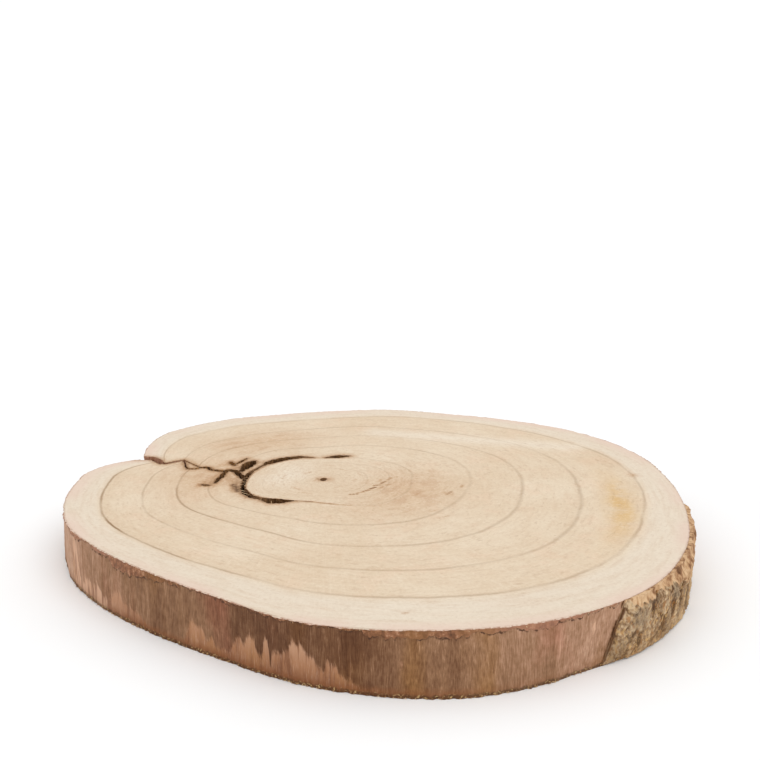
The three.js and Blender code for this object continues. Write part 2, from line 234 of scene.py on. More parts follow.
# Bumps of the wall, each as size, width along the rim at one radius, length up it and seed.
NOISE_RADIUS = 170.0
FURROWS = [(0.45, 14.0, 60.0, 1), (0.25, 4.5, 45.0, 2)]
WALL_FIBRES = [(0.18, 1.7, 18.0, 4)]
SCRAPE_EDGES = [(0.9, 1.5, 14.0, 3), (0.8, 3.5, 20.0, 8)]
FLAKE_HANGS = [(0.9, 6.0, 1.0, 11)]
FLAKE_RAGS = [(1.3, 3.4, 1.0, 12)]
FLAKE_CRUMBS = [(1.0, 1.1, 1.6, 13)]
FLAKE_LUMPS = [(0.7, 1.8, 2.2, 14)]
EDGE_BITES = [(1.0, 3.2, 1.0, 6)]
EDGE_CRUMBS = [(0.5, 1.3, 1.0, 7)]
EDGE_FRAYS = [(0.22, 1.2, 1.0, 15), (0.4, 4.2, 1.0, 16)]
EDGE_WEAR = [(1.0, 2.6, 1.0, 17)]
EDGE_WEAR_LEAST = 0.1
EDGE_WEAR_DEPTH = 0.35

# How light the peeled skin is round the rim: angle and share from dark to light.
RIM_TONES = [
    (-180, 0.7), (-160, 0.92), (-152, 0.98), (-148, 0.9), (-144, 0.82), (-140, 0.76), (-136, 0.72),
    (-132, 0.57), (-124, 0.54), (-118, 0.47), (-112, 0.53), (-107, 0.52), (-104, 0.44), (-101, 0.3),
    (-95, 0.16), (-88, 0.3), (-84, 0.21), (-80, 0.38), (-76, 0.48), (-73.5, 0.5), (-71, 0.52),
    (-68, 0.68), (-62, 0.62), (-59, 0.66), (-55, 0.84), (-50, 0.84), (-10, 0.8), (20, 0.45), (60, 0.6),
    (100, 0.3), (140, 0.55), (180, 0.7),
]

# Where the skin turns to ochre or to plum: angle, spread, share, which is negative for plum.
RIM_HUES = [
    (-92, 4, 0.5), (-76.5, 2, 0.9), (-68, 1.6, 0.5), (-52, 2.5, 0.5), (-116, 5, 0.3), (-84, 5, 0.3),
    (-105, 4, -0.65), (-96, 3, -0.2), (-152, 5, -0.2), (60, 6, -0.6), (95, 8, 0.6), (130, 7, -0.5),
]

# The strip of outer bark: the angles of its ends at the upper edge, and how far they move at the lower one.
BARK_NEAR = -49.0
BARK_FAR = -11.0
BARK_NEAR_SLANT = -2.6
BARK_FAR_SLANT = -3.5
# How the ends wander: degrees, length up the wall, seed.
BARK_NEAR_WANDER = [(0.45, 7.0, 31), (0.25, 2.0, 33)]
BARK_FAR_WANDER = [(0.6, 2.6, 32)]
# Its lower and upper edge, the gap to the wood, how thin it gets, and how the wood looks beside it, with a
# band of painted shade on the wood along the seam.
BARK_BOTTOM = 0.8
BARK_TOP = 29.8
BARK_GAP = 0.08
BARK_THINNEST = 0.35
BARK_END_TAPER = 1.4
BARK_END_SHARE = 0.45
BARK_MARGIN = 4.0
BARK_SEAM_RADIUS = 205
BARK_SEAM_SHADE = 0.9
BARK_SEAM_WIDTH = 0.7
BARK_HIDES_FLAKES = 9
# The bevel under its upper edge, and the depth of its relief on the body and on the lip above the bevel.
BARK_BEVEL_HEIGHT = 24.0
BARK_BEVEL_DEPTH = 5.0
BARK_FOOT_HEIGHT = 9
BARK_RELIEF_DEPTH = 1.1
BARK_LIP = 1.6
BARK_LIP_RELIEF = 0.25
# Noise of the bark as width along the rim, length up it and seed, and bumps with their size before that.
BARK_LUMPS = (7.0, 11.0, 41)
BARK_KNOBS = (2.2, 3.4, 42)
BARK_GRAINS = (1.0, 1.5, 43)
BARK_CRACKLE = (7.0, 16.0, 44)
BROKEN_WANDER = [(2.0, 6.0, 1.0, 45)]
BROKEN_RAGS = [(2.6, 2.4, 5.0, 46)]
BEVEL_WANDER = [(2.4, 9.0, 1.0, 47)]
LIP_WANDER = [(1.2, 6.0, 9.0, 48), (0.6, 2.4, 4.0, 49)]
# How far down the broken face under its upper edge is bare of grains: angle and height.
BARK_BROKEN = [
    (-50, 29), (-47.5, 27), (-46, 26), (-44, 26.5), (-42, 27), (-39, 26), (-36.7, 25), (-33.3, 19.5),
    (-28, 13), (-22, 12),
]
# Deep upright fissures and one weathered grey patch: angle, height, half angle, half height.
BARK_FISSURES = [
    (-44.3, 22, 0.5, 5), (-38.4, 15, 0.6, 6), (-41, 8, 0.45, 4), (-35.5, 21, 0.5, 6), (-31, 12, 0.6, 7),
    (-46.6, 7, 0.4, 4), (-26, 17, 0.5, 8), (-20, 12, 0.5, 7),
]
BARK_GREY = (-46.8, 19, 1.8, 7)
# Its thickness by angle, at the lower edge and from a third of the way up.
BARK_FOOT = [
    (-54, 0.5), (-50, 0.9), (-46, 1.9), (-42, 2.8), (-38, 4.1), (-34, 5.2), (-30, 5.3), (-26, 4.3),
    (-20, 4.0),
]
BARK_BODY = [
    (-54, 1.6), (-50, 2.6), (-46, 4.0), (-40, 4.8), (-34, 5.0), (-30, 4.5), (-26, 3.6), (-22, 3.7),
    (-16, 4.2),
]
BARK_COLUMNS = 330
BARK_ROWS = 74

# Slivers of torn wood: where and how far they bend, how thick they are there, how low they may lie.
SLIVER_BEND_PLACE = 0.55
SLIVER_BEND = 0.35
SLIVER_MIDDLE = 0.75
SLIVER_LOWEST = 0.02
# Splinters along the rim: edge, how many, range of lengths, share of the length that stands out.
SPLINTERS = [("lower", 300, (0.5, 1.5), 0.7), ("upper", 80, (0.6, 1.9), 0.25)]
SPLINTER_FRONT = (-150, -54)
SPLINTER_BACK = (0, 130)
LOWER_SPLINTERS_IN_FRONT = 0.62
LOWER_ROOTS = (0.25, 0.9)
LOWER_TIP = 0.12
UPPER_ROOTS = (0.1, 0.6)
UPPER_TIPS = (-0.3, 1.6)
SPLINTER_ROOT = 0.3
SPLINTER_LEAN = 0.3
SPLINTER_SIZES = (0.12, 0.3)
# Fibres across the ring shake, only where it lies left of one x and in front of one y.
FIBRE_COUNT = 13
FIBRE_SPACING = 0.5
BRIDGED_BELOW_X = -24
BRIDGED_BELOW_Y = 16
FIBRE_SLANT = 1.6
FIBRE_GRIPS = (0.4, 0.9)
FIBRE_DEPTHS = (0.2, 0.9)
FIBRE_DROPS = (-0.1, 0.6)
FIBRE_SIZES = (0.1, 0.26)

# The photograph's view: focal length and picture width in pixels, eye point in millimetres from the frame's
# origin, downward pitch in degrees.
PICTURE_WIDTH_PX = 760
FOCAL_LENGTH_PX = 1397
SENSOR_MM = 36.0
EYE = (2.5, -691.7, 282.2)
PITCH = 15.22

# The pale floor, its half width in metres and its colours as on a screen, and the soft light.
FLOOR_HALF = 3000.0
FLOOR_SHADE = (243.4, 243.4, 243.4)
FLOOR_LIGHT = (245.8, 245.8, 245.8)
SKY_STRENGTH = 1.0
KEY_STRENGTH = 0.6
KEY_SPREAD = 50
KEY_FROM = (0.35, -0.45, 1.0)

# How much dry wood shines, and linear filters that turn the skin to ochre or to plum.
DRY_SHINE = 0.25
OCHRE_FILTER = (1.03, 0.95, 0.66, 1.0)
PLUM_FILTER = (1.08, 0.86, 0.9, 1.0)

# Columns of the slice's mesh at the rim. Both faces have half as many, then a quarter, towards the pith.
RIM_COLUMNS = 1320
WALL_ROWS = 19
NEAR_EDGE = 3.0
NEAR_EDGE_ROWS = [0.8, 1.5, 2.2]
FRONT_CLOSENESS = 1.8
FINE_FRONT = (-80, 72, 96)
# Longest edges left near cracks and flecks, in the order of the splitting.
FINE_EDGES = (3.0, 1.6, 1.0)
FINE_REACH = 0.8
# Edges sharper than these, in degrees, stay sharp in the shading.
SHARP_WOOD = 38
SHARP_BARK = 50
# How far apart in the noise two seeds lie.
SEED_STEP = 17.31
# Material slots of the slice's mesh.
FACE_SLOT, RIM_SLOT, CRACK_SLOT = 0, 1, 2


# Outline and relief

def turn_between(start, angle):
    return (np.asarray(angle) - start + 180.0) % 360.0 - 180.0


def smooth_step(value, low, high):
    share = np.clip((np.asarray(value) - low) / (high - low), 0.0, 1.0)
    return share * share * (3.0 - 2.0 * share)


def bump(distance, spread):
    return np.exp(-(np.asarray(distance) / spread) ** 2)


def closed_curve(values, angle):
    """A smooth closed curve through values evenly spaced round the pith, the first at -180 degrees."""
    values = np.asarray(values)
    place = (np.asarray(angle) + 180.0) % 360.0 / 360.0 * len(values)
    index = np.floor(place).astype(int)
    t = place - index
    before, here, after, beyond = (values[(index + step) % len(values)] for step in (-1, 0, 1, 2))
    slope = (after - before) * t
    curve = (2 * before - 5 * here + 4 * after - beyond) * t ** 2
    twist = (3 * here - before - 3 * after + beyond) * t ** 3
    return 0.5 * (2 * here + slope + curve + twist)


def notch_depth(angle):
    aside = turn_between(NOTCH_ANGLE, angle)
    reach = np.where(aside < 0, NOTCH_BACK_REACH, NOTCH_FRONT_REACH)
    sharpness = np.where(aside < 0, NOTCH_BACK_SHARPNESS, NOTCH_FRONT_SHARPNESS)
    return NOTCH_DEPTH * np.clip(1 - np.abs(aside) / reach, 0, 1) ** sharpness


def rim_radius(angle):
    return closed_curve(RIM_RADII, angle) - notch_depth(angle)


def noise_at(x, y, z, seed=0.0):
    """Smooth noise between -1 and 1 at many places, one unit from bump to bump."""
    places = np.stack(np.broadcast_arrays(x, y, z), -1).reshape(-1, 3) + seed * SEED_STEP
    values = np.fromiter((noise.noise(place) for place in places.tolist()), float, len(places))
    return values.reshape(np.broadcast(x, y, z).shape)


def wall_noise(angle, height, width, length, seed):
    """Noise on the wall, drawn out upwards: width along the rim and length up it, in millimetres."""
    radians = np.radians(angle)
    radius = NOISE_RADIUS / width
    return noise_at(radius * np.cos(radians), radius * np.sin(radians), height / length, seed)


def bumps(angle, height, kinds, base=0.0):
    """The base with bumps of several kinds on the wall, each given as size, width, length and seed."""
    for size, width, length, seed in kinds:
        base = base + size * wall_noise(angle, height, width, length, seed)
    return base


def under_bark(angle, margin=BARK_MARGIN):
    middle = (BARK_NEAR + BARK_FAR) / 2
    half = (BARK_FAR - BARK_NEAR) / 2
    outside = np.abs(turn_between(middle, angle)) - half
    return 1 - smooth_step(outside, margin, 2 * margin)


def back_scrape_line():
    draw = np.random.default_rng(5)
    angles = np.sort(draw.uniform(BACK_SCRAPES_FIRST, BACK_SCRAPES_LAST, BACK_SCRAPES_COUNT))
    line = [(BACK_SCRAPES_FIRST - BACK_SCRAPES_FADE, 0.0)]
    for angle in angles:
        line.append((angle - draw.uniform(*BACK_SCRAPE_WIDTHS), draw.uniform(*BACK_SCRAPE_GAPS)))
        line.append((angle, draw.uniform(*BACK_SCRAPE_TIPS)))
    return line + [(BACK_SCRAPES_LAST + BACK_SCRAPES_FADE, 0.0)]


def scrape_height(angle):
    """How high above the lower edge the knife took the skin off, in strokes with rounded ends."""
    hidden_line = sorted(back_scrape_line())
    height = np.zeros_like(np.asarray(angle, float))
    for aside in np.linspace(-STROKE_HALF_WIDTH, STROKE_HALF_WIDTH, STROKE_STEPS):
        drop = STROKE_ROUNDING * (aside / STROKE_HALF_WIDTH) ** 2
        seen = np.interp(turn_between(0, angle) + aside, *zip(*SCRAPE_LINE), left=0, right=0)
        hidden = np.interp((np.asarray(angle) + aside) % 360, *zip(*hidden_line), left=0, right=0)
        height = np.maximum(height, np.maximum(seen, hidden) - drop)
    return height


def spot_share(spot, angle, height):
    """How far inside a soft oval spot on the wall: its angle, height, half angle and half height."""
    middle, at, half_angle, half_height = spot
    return bump(turn_between(middle, angle), half_angle) * bump(height - at, half_height)


def bare_wood(angle, height):
    """Millimetres inside the scraped area, negative where the skin is left."""
    ragged = bumps(angle, height, SCRAPE_EDGES)
    inside = scrape_height(angle) - height
    for nick in RIM_NICKS:
        inside = np.maximum(inside, NICK_DEPTH * (spot_share(nick, angle, height) - 0.5))
    return inside + ragged - SKIN_OVERLAP


def flake_cover(angle, height):
    """Millimetres inside the flakes that hang from the upper edge, negative below them."""
    hang = bumps(angle, 0.0, FLAKE_HANGS, FLAKE_FRINGE)
    for middle, half, depth in TOP_FLAKES:
        rounded = np.clip(1 - (turn_between(middle, angle) / half) ** 2, 0, 1) ** FLAKE_ROUNDING
        hang = np.maximum(hang, FLAKE_HANG * depth * rounded)
    hang = bumps(angle, height, FLAKE_CRUMBS, bumps(angle, 0.0, FLAKE_RAGS, hang))
    return hang - (THICKNESS - height)


def front_share(front, back_share, angle):
    """1 along the front of the rim, the back's share round the back."""
    middle, full, faint = front
    return back_share + (1 - back_share) * (1 - smooth_step(np.abs(turn_between(middle, angle)), full, faint))


def wall_base(angle, height):
    lower_edge = sum(out * bump(turn_between(at, angle), spread) for at, spread, out in WALL_LEANS)
    return rim_radius(angle) + lower_edge * (1 - np.asarray(height) / THICKNESS)


def wall_radius(angle, height):
    """The peeled wall: furrows, scrapes sunk below the skin, flakes proud of it, frayed and chipped edges."""
    furrows = bumps(angle, height, FURROWS)
    fibres = bumps(angle, height, WALL_FIBRES)
    scrapes = -SKIN_THICKNESS * smooth_step(bare_wood(angle, height), -SKIN_EDGE, SKIN_EDGE)
    lumps = bumps(angle, height, FLAKE_LUMPS, FLAKE_LUMPINESS)
    flakes = FLAKE_THICKNESS * lumps * smooth_step(flake_cover(angle, height), -0.3, 0.5)
    chips = np.clip(bumps(angle, 0.0, EDGE_BITES), 0, 1) + bumps(angle, 0.0, EDGE_CRUMBS)
    chipped = front_share(CHIPPED_FRONT, CHIPPED_BACK_SHARE, angle)
    chips = chips * chipped * (1 - smooth_step(height, 0.2, 1.8))
    frayed = front_share(FRAYED_FRONT, FRAYED_BACK_SHARE, angle)
    fray = bumps(angle, 0.0, EDGE_FRAYS) * frayed * smooth_step(height, THICKNESS - 1.6, THICKNESS - 0.2)
    relief = furrows + fibres + scrapes + flakes + fray - CHIP_DEPTH * chips
    return wall_base(angle, height) + relief * (1 - under_bark(angle))


def round_points(angle, radius, height):
    radians = np.radians(angle)
    return np.stack([radius * np.cos(radians), radius * np.sin(radians), height], -1)


# Mesh making

def add_object(name, data):
    added = bpy.data.objects.new(name, data)
    bpy.context.scene.collection.objects.link(added)
    return added


def new_piece(name, points, faces, materials):
    """A mesh piece of the slice from millimetre points measured from the pith."""
    placed = (np.asarray(points) + np.array([PITH[0], PITH[1], 0.0])) * MM
    mesh = bpy.data.meshes.new(name)
    mesh.from_pydata(placed.tolist(), [], faces)
    for material in materials:
        mesh.materials.append(material)
    return add_object(name, mesh)


def write_attribute(mesh, name, values):
    layer = mesh.attributes.new(name, "FLOAT", "POINT")
    layer.data.foreach_set("value", np.asarray(values, np.float32))


def points_of(mesh):
    """The mesh's points in millimetres from the pith."""
    places = np.empty(len(mesh.vertices) * 3)
    mesh.vertices.foreach_get("co", places)
    return places.reshape(-1, 3) / MM - np.array([PITH[0], PITH[1], 0.0])


def smooth_shading(mesh, sharp_degrees):
    mesh.polygons.foreach_set("use_smooth", np.ones(len(mesh.polygons), bool))
    mesh.set_sharp_from_angle(angle=math.radians(sharp_degrees))


def column_angles(count):
    """Angles of the mesh's columns, from the notch round, closer together along the seen front of the rim."""
    angle = NOTCH_ANGLE + np.linspace(0, 360, 1441)
    closeness = 1 + FRONT_CLOSENESS * front_share(FINE_FRONT, 0.0, angle)
    turned = np.concatenate([[0], np.cumsum((closeness[1:] + closeness[:-1]) / 2)])
    return np.interp(np.arange(count) / count, turned / turned[-1], angle)


def slice_rings():
    """Rings of points: out over the upper face, down the wall, and back in under the lower face.
    Each is its angles, radii, heights and the slot of the faces up to the next ring."""
    full, half, quarter = RIM_COLUMNS, RIM_COLUMNS // 2, RIM_COLUMNS // 4
    rings = []

    def face_ring(count, share, height, slot):
        angle = column_angles(count)
        hole = PITH_HOLE * (1 - PITH_HOLE_OVAL * np.cos(np.radians(2 * angle + PITH_HOLE_TURN)))
        radius = hole + share * (wall_radius(angle, np.full(count, height)) - hole)
        rings.append((angle, radius, np.full(count, height), slot))

    upper = [(quarter, share) for share in np.linspace(0, 0.3, 19)[:-1]]
    upper += [(half, share) for share in np.linspace(0.3, 0.975, 27)[:-1]]
    upper += [(full, share) for share in (0.975, 0.987, 0.995, 1.0)]
    for count, share in upper:
        face_ring(count, share, THICKNESS, FACE_SLOT)
    angle = column_angles(full)
    wear = EDGE_WEAR_DEPTH * np.clip(bumps(angle, 0.0, EDGE_WEAR), 0, 1) * (1 - under_bark(angle))
    rings[-1] = (angle, rings[-1][1], THICKNESS - (EDGE_WEAR_LEAST + wear), RIM_SLOT)
    near_edge = np.array(NEAR_EDGE_ROWS)
    middle = np.linspace(NEAR_EDGE, THICKNESS - NEAR_EDGE, WALL_ROWS)
    for height in np.concatenate([THICKNESS - near_edge, middle[::-1], near_edge[::-1]]):
        heights = np.full(full, height)
        rings.append((angle, wall_radius(angle, heights), heights, RIM_SLOT))
    lower = [(full, share) for share in (1.0, 0.985)]
    lower += [(half, share) for share in np.linspace(0.97, 0.3, 7)[:-1]]
    lower += [(quarter, share) for share in np.linspace(0.3, 0, 4)]
    for count, share in lower:
        face_ring(count, share, 0.0, FACE_SLOT)
    rings[-1] = rings[-1][:3] + (CRACK_SLOT,)
    for height in (0.3 * THICKNESS, 0.7 * THICKNESS):
        face_ring(quarter, 0.0, height, CRACK_SLOT)
    return rings


def band_faces(start, count, next_start, next_count):
    """Faces between two rings of points that have as many points, twice as many or half as many."""
    i = np.arange(min(count, next_count))
    j = (i + 1) % len(i)
    if count == next_count:
        return np.stack([start + i, next_start + i, next_start + j, start + j], -1).tolist()
    if next_count == 2 * count:
        middle, last = next_start + 2 * i + 1, next_start + 2 * j
        parts = [
            (start + i, next_start + 2 * i, middle),
            (start + i, middle, start + j),
            (start + j, middle, last),
        ]
    else:
        middle, last = start + 2 * i + 1, start + 2 * j
        parts = [
            (start + 2 * i, next_start + i, middle),
            (middle, next_start + i, next_start + j),
            (middle, next_start + j, last),
        ]
    return [face for part in parts for face in np.stack(part, -1).tolist()]


def disc_piece(materials):
    rings = slice_rings()
    points = [round_points(angle, radius, height) for angle, radius, height, _ in rings]
    starts = np.cumsum([0] + [len(ring[0]) for ring in rings])
    faces, slots = [], []
    for index, ring in enumerate(rings):
        following = (index + 1) % len(rings)
        band = band_faces(starts[index], len(ring[0]), starts[following], len(rings[following][0]))
        faces += band
        slots += [ring[3]] * len(band)
    piece = new_piece("wood_slice_fine", np.concatenate(points), faces, materials)
    piece.data.polygons.foreach_set("material_index", slots)
    return piece


# Cracks

def resampled(line, spacing):
    line = np.asarray(line, float)
    lengths = np.concatenate([[0], np.cumsum(np.hypot(*np.diff(line[:, :2], axis=0).T))])
    along = np.linspace(0, lengths[-1], max(3, int(lengths[-1] / spacing)))
    return along, np.stack([np.interp(along, lengths, column) for column in line.T], -1)


def crack_blade(name, line, bottom, seed, materials):
    """A closed ragged blade that cuts one crack. Its outline is drawn at several depths, narrower below."""
    along, path = resampled(line, BLADE_SPACING)
    ahead, behind = (
        np.stack([np.interp(along + reach, along, path[:, axis]) for axis in (0, 1)], -1)
        for reach in (BLADE_REACH, -BLADE_REACH)
    )
    heading = ahead - behind
    heading /= np.linalg.norm(heading, axis=1)[:, None]
    across = np.stack([-heading[:, 1], heading[:, 0]], -1)
    heights = [h for h in THICKNESS - np.array(BLADE_DEPTHS) if h > bottom + 0.5] + [bottom]
    points = []
    for height in heights:
        down = np.clip((THICKNESS - height) / THICKNESS, 0, 1)
        mouth = MOUTH_WIDENING * bump(THICKNESS - height, MOUTH_DEPTH)
        width = path[:, 2] * (1 - BLADE_NARROWING * down) + mouth
        sides = []
        for side in (1, -1):
            ragged = 0.0
            for size, length, drop, apart in BLADE_RAGS:
                ragged = ragged + size * noise_at(along / length, height / drop, side * apart, seed)
            edge = np.maximum(width + ragged * np.minimum(width, RAGGED_MOST), BLADE_THINNEST)
            sides.append(path[:, :2] + across * (side * edge)[:, None])
        drift = BLADE_DRIFT * down * noise_at(along / 12.0, height / 15.0, 0.5, seed)
        loop = np.concatenate([sides[0], sides[1][::-1]])
        loop += np.concatenate([across * drift[:, None], (across * drift[:, None])[::-1]])
        points.append(np.column_stack([loop, np.full(len(loop), height)]))
    count = 2 * len(along)
    faces = [list(range(count))[::-1], list(range((len(heights) - 1) * count, len(heights) * count))]
    for level in range(len(heights) - 1):
        faces += band_faces(level * count, count, (level + 1) * count, count)
    blade = new_piece(name, np.concatenate(points), faces, materials)
    blade.data.polygons.foreach_set("material_index", [CRACK_SLOT] * len(faces))
    turn_outward(blade.data)
    return blade


def turn_outward(mesh):
    shell = bmesh.new()
    shell.from_mesh(mesh)
    bmesh.ops.recalc_face_normals(shell, faces=shell.faces)
    shell.to_mesh(mesh)
    shell.free()


def cut_cracks(piece, blades):
    """Subtracts all the blades from the piece and removes them."""
    for blade in blades:
        cut = piece.modifiers.new("crack", "BOOLEAN")
        cut.operation = "DIFFERENCE"
        cut.solver = "MANIFOLD"
        cut.object = blade
    bpy.context.view_layer.update()
    cut_mesh = bpy.data.meshes.new_from_object(piece.evaluated_get(bpy.context.evaluated_depsgraph_get()))
    piece.modifiers.clear()
    piece.data = cut_mesh
    for blade in blades:
        bpy.data.objects.remove(blade)


def fleck_lines():
    """The flecks as short lines, each with its strength."""
    lines = []
    for x, y, length, degrees, strength in FLECKS:
        dx = 0.5 * length * math.cos(math.radians(degrees))
        dy = 0.5 * length * math.sin(math.radians(degrees))
        lines.append(([(x - dx, y - dy, 0.0), (x + dx, y + dy, 0.0)], strength))
    return lines


def line_distance(places, line):
    """Distance on the upper face from each place to the nearest edge of one line."""
    nearest = np.full(len(places), 1e3)
    for x, y, half in resampled(line, 1.0)[1]:
        nearest = np.minimum(nearest, np.hypot(places[:, 0] - x, places[:, 1] - y) - half)
    return np.maximum(nearest, 0)


def crack_distance(places):
    lines = [RADIAL_CRACK, RING_SHAKE] + [split for _, split in SHALLOW_SPLITS]
    return np.min([line_distance(places, line) for line in lines], axis=0)


def marked_distance(places):
    """Distance to the nearest crack or fleck."""
    marks = [line_distance(places, line) for line, _ in fleck_lines()]
    return np.min(marks + [crack_distance(places)], axis=0)


def drop_flaps(shell):
    """Deletes hair-thin flaps that the cuts leave: faces that lie doubled and faces with a loose edge."""
    users = {}
    for face in shell.faces:
        users.setdefault(frozenset(face.verts), []).append(face)
    flaps = [face for faces in users.values() if len(faces) > 1 for face in faces]
    flaps += [face for edge in shell.edges if edge.is_boundary for face in edge.link_faces]
    bmesh.ops.delete(shell, geom=list(dict.fromkeys(flaps)), context="FACES")


def refine_near_cracks(mesh):
    """Makes the upper face all triangles, with short edges near cracks and flecks for the stains there."""
    shell = bmesh.new()
    shell.from_mesh(mesh)

    def upper_faces():
        return [face for face in shell.faces if face.material_index == FACE_SLOT and face.normal.z > 0.99]

    for longest in FINE_EDGES:
        upper = upper_faces()
        middles = np.array([face.calc_center_median()[:2] for face in upper]) / MM - PITH
        reach = FINE_REACH + 1.2 * longest
        near = [face for face, gap in zip(upper, marked_distance(middles)) if gap < reach]
        triangles = bmesh.ops.triangulate(shell, faces=near)["faces"]
        long_edges = [edge for face in triangles for edge in face.edges if edge.calc_length() > longest * MM]
        bmesh.ops.subdivide_edges(shell, edges=list(dict.fromkeys(long_edges)), cuts=1)
    bmesh.ops.triangulate(shell, faces=upper_faces())
    bmesh.ops.triangulate(shell, faces=[face for face in shell.faces if len(face.verts) > 4])
    drop_flaps(shell)
    shell.to_mesh(mesh)
    shell.free()


# Growth rings and stains

def growth_age(angle, radius):
    """Counts growth rings out from the pith: whole numbers lie on the dark lines, the last is the rim."""
    smooth = closed_curve(RIM_RADII, angle)
    notch = notch_depth(angle)
    edges = [closed_curve(shares, angle) * (smooth - follow * notch) for shares, follow in GROWTH_RINGS]
    edges = [np.zeros_like(radius)] + edges + [smooth - notch]
    counts = [0] + list(range(CORE_RINGS, CORE_RINGS + len(GROWTH_RINGS) + 1))
    age = np.full_like(radius, counts[-1])
    for low, high, first, last in zip(edges, edges[1:], counts, counts[1:]):
        inside = (radius >= low) & (radius < high)
        age = np.where(inside, first + (last - first) * (radius - low) / np.maximum(high - low, 1e-6), age)
    return age


def patches(spots, angle, share):
    total = np.zeros_like(share)
    for middle, half_angle, at, half_share in spots:
        spot = bump(turn_between(middle, angle), half_angle) * bump(share - at, half_share)
        total = np.maximum(total, spot)
    return total


def streak(ends_and_width, places):
    start, end, half = ends_and_width
    return bump(line_distance(places, [(*start, 0.0), (*end, 0.0)]), half)


def ring_line_strength(angle, age):
    """How dark the ring lines are: faint in the core, darkest at the left of the outer rings."""
    strength = np.interp(age, *zip(*RING_LINES))
    left = bump(turn_between(DARK_LINES_ANGLE, angle), DARK_LINES_SPREAD)
    dark = (boost * bump(age - ring, DARK_LINES_WIDTH) for ring, boost in DARK_LINES)
    return strength * (1 + left * sum(dark))


def write_slice_attributes(piece):
    places = points_of(piece.data)
    angle = np.degrees(np.arctan2(places[:, 1], places[:, 0]))
    radius = np.hypot(places[:, 0], places[:, 1])
    height = places[:, 2]
    share = radius / rim_radius(angle)
    age = growth_age(angle, radius)
    halo = np.where(age > CORE_RINGS - 0.25, CRACK_HALO, CORE_CRACK_HALO)
    stain = CRACK_STAIN * np.exp(-crack_distance(places) / halo)
    for line, strength in fleck_lines():
        stain = np.maximum(stain, strength * bump(line_distance(places, line), FLECK_HALF_WIDTH))
    for start, end, half, strength in SMEARS:
        stain = np.maximum(stain, strength * streak((start, end, half), places))
    # Painted light: lighter brown on the crack walls near these spots.
    browned = np.zeros_like(radius)
    for x, y, reach in BROWNED_WALLS:
        browned = np.maximum(browned, bump(np.hypot(places[:, 0] - x, places[:, 1] - y), reach))
    bleached = np.maximum(patches(BLEACHED, angle, share), streak(BLEACHED_STREAK, places))
    # Painted shade: a dark band on the wood along the bark's near seam, taken off the skin's tone.
    seam = bump(bark_seam_distance(angle, height), BARK_SEAM_WIDTH)
    layers = {
        "age": age,
        "stain": stain,
        "browned": browned,
        "bleached": bleached,
        "ring_line": ring_line_strength(angle, age) * (1 - BLEACHED_LINES * bleached),
        "honey": patches(HONEY, angle, share),
        "tanned": patches(TANNED, angle, share),
        "edge": rim_radius(angle) - radius,
        "bare_wood": bare_wood(angle, height),
        "flake": flake_cover(angle, height) - BARK_HIDES_FLAKES * under_bark(angle, 0.5),
        "tone": np.interp(angle, *zip(*RIM_TONES)) - BARK_SEAM_SHADE * seam,
        "hue": sum(share * bump(turn_between(middle, angle), spread) for middle, spread, share in RIM_HUES),
        "height": height / THICKNESS,
    }
    for name, values in layers.items():
        write_attribute(piece.data, name, values)


# Strip of bark

def end_wander(height, kinds):
    return sum(size * noise_at(height / length, 0.0, 0.0, seed) for size, length, seed in kinds)


def bark_angles(height):
    """The angles of the bark's two ends at each height."""
    down = 1 - height / THICKNESS
    near = BARK_NEAR + BARK_NEAR_SLANT * down + end_wander(height, BARK_NEAR_WANDER)
    far = BARK_FAR + BARK_FAR_SLANT * down + end_wander(height, BARK_FAR_WANDER)
    return near, far


def bark_seam_distance(angle, height):
    near, _ = bark_angles(height)
    return np.radians(turn_between(near, angle)) * BARK_SEAM_RADIUS


def bark_relief(angle, height):
    """Grains, knobs and fissures of the bark, about 0 at the bottom of a fissure and 1 on top of a knob."""
    lumps = wall_noise(angle, height, *BARK_LUMPS)
    knobs = wall_noise(angle, height, *BARK_KNOBS)
    grains = wall_noise(angle, height, *BARK_GRAINS)
    fissures = 1 - np.abs(wall_noise(angle + 0.4 * knobs, height, *BARK_CRACKLE))
    relief = 0.55 + 0.3 * lumps + 0.38 * knobs + 0.45 * grains - 0.45 * smooth_step(fissures, 0.92, 0.99)
    for fissure in BARK_FISSURES:
        relief = relief - 0.9 * spot_share(fissure, angle + 0.5 * knobs, height)
    return relief


def broken_edge(angle, height):
    """Share of the broken face under the bark's upper edge, with a ragged lower border."""
    start = bumps(angle, 0.0, BROKEN_WANDER, np.interp(angle, *zip(*BARK_BROKEN)))
    start = bumps(angle, height, BROKEN_RAGS, start)
    return smooth_step(height, start - 0.6, start + 2.0)


def bark_thickness(angle, height, relief):
    foot = np.interp(angle, *zip(*BARK_FOOT))
    body = np.interp(angle, *zip(*BARK_BODY))
    full = body + (foot - body) * (1 - smooth_step(height, 0, BARK_FOOT_HEIGHT))
    full = full + BARK_RELIEF_DEPTH * (relief - 0.5)
    bevel_start = bumps(angle, 0.0, BEVEL_WANDER, BARK_BEVEL_HEIGHT)
    bevel = smooth_step(height, bevel_start - 0.5, bevel_start + BARK_BEVEL_DEPTH)
    lip = bumps(angle, height, LIP_WANDER, BARK_LIP) + BARK_LIP_RELIEF * (relief - 0.5)
    return full + (lip - full) * bevel


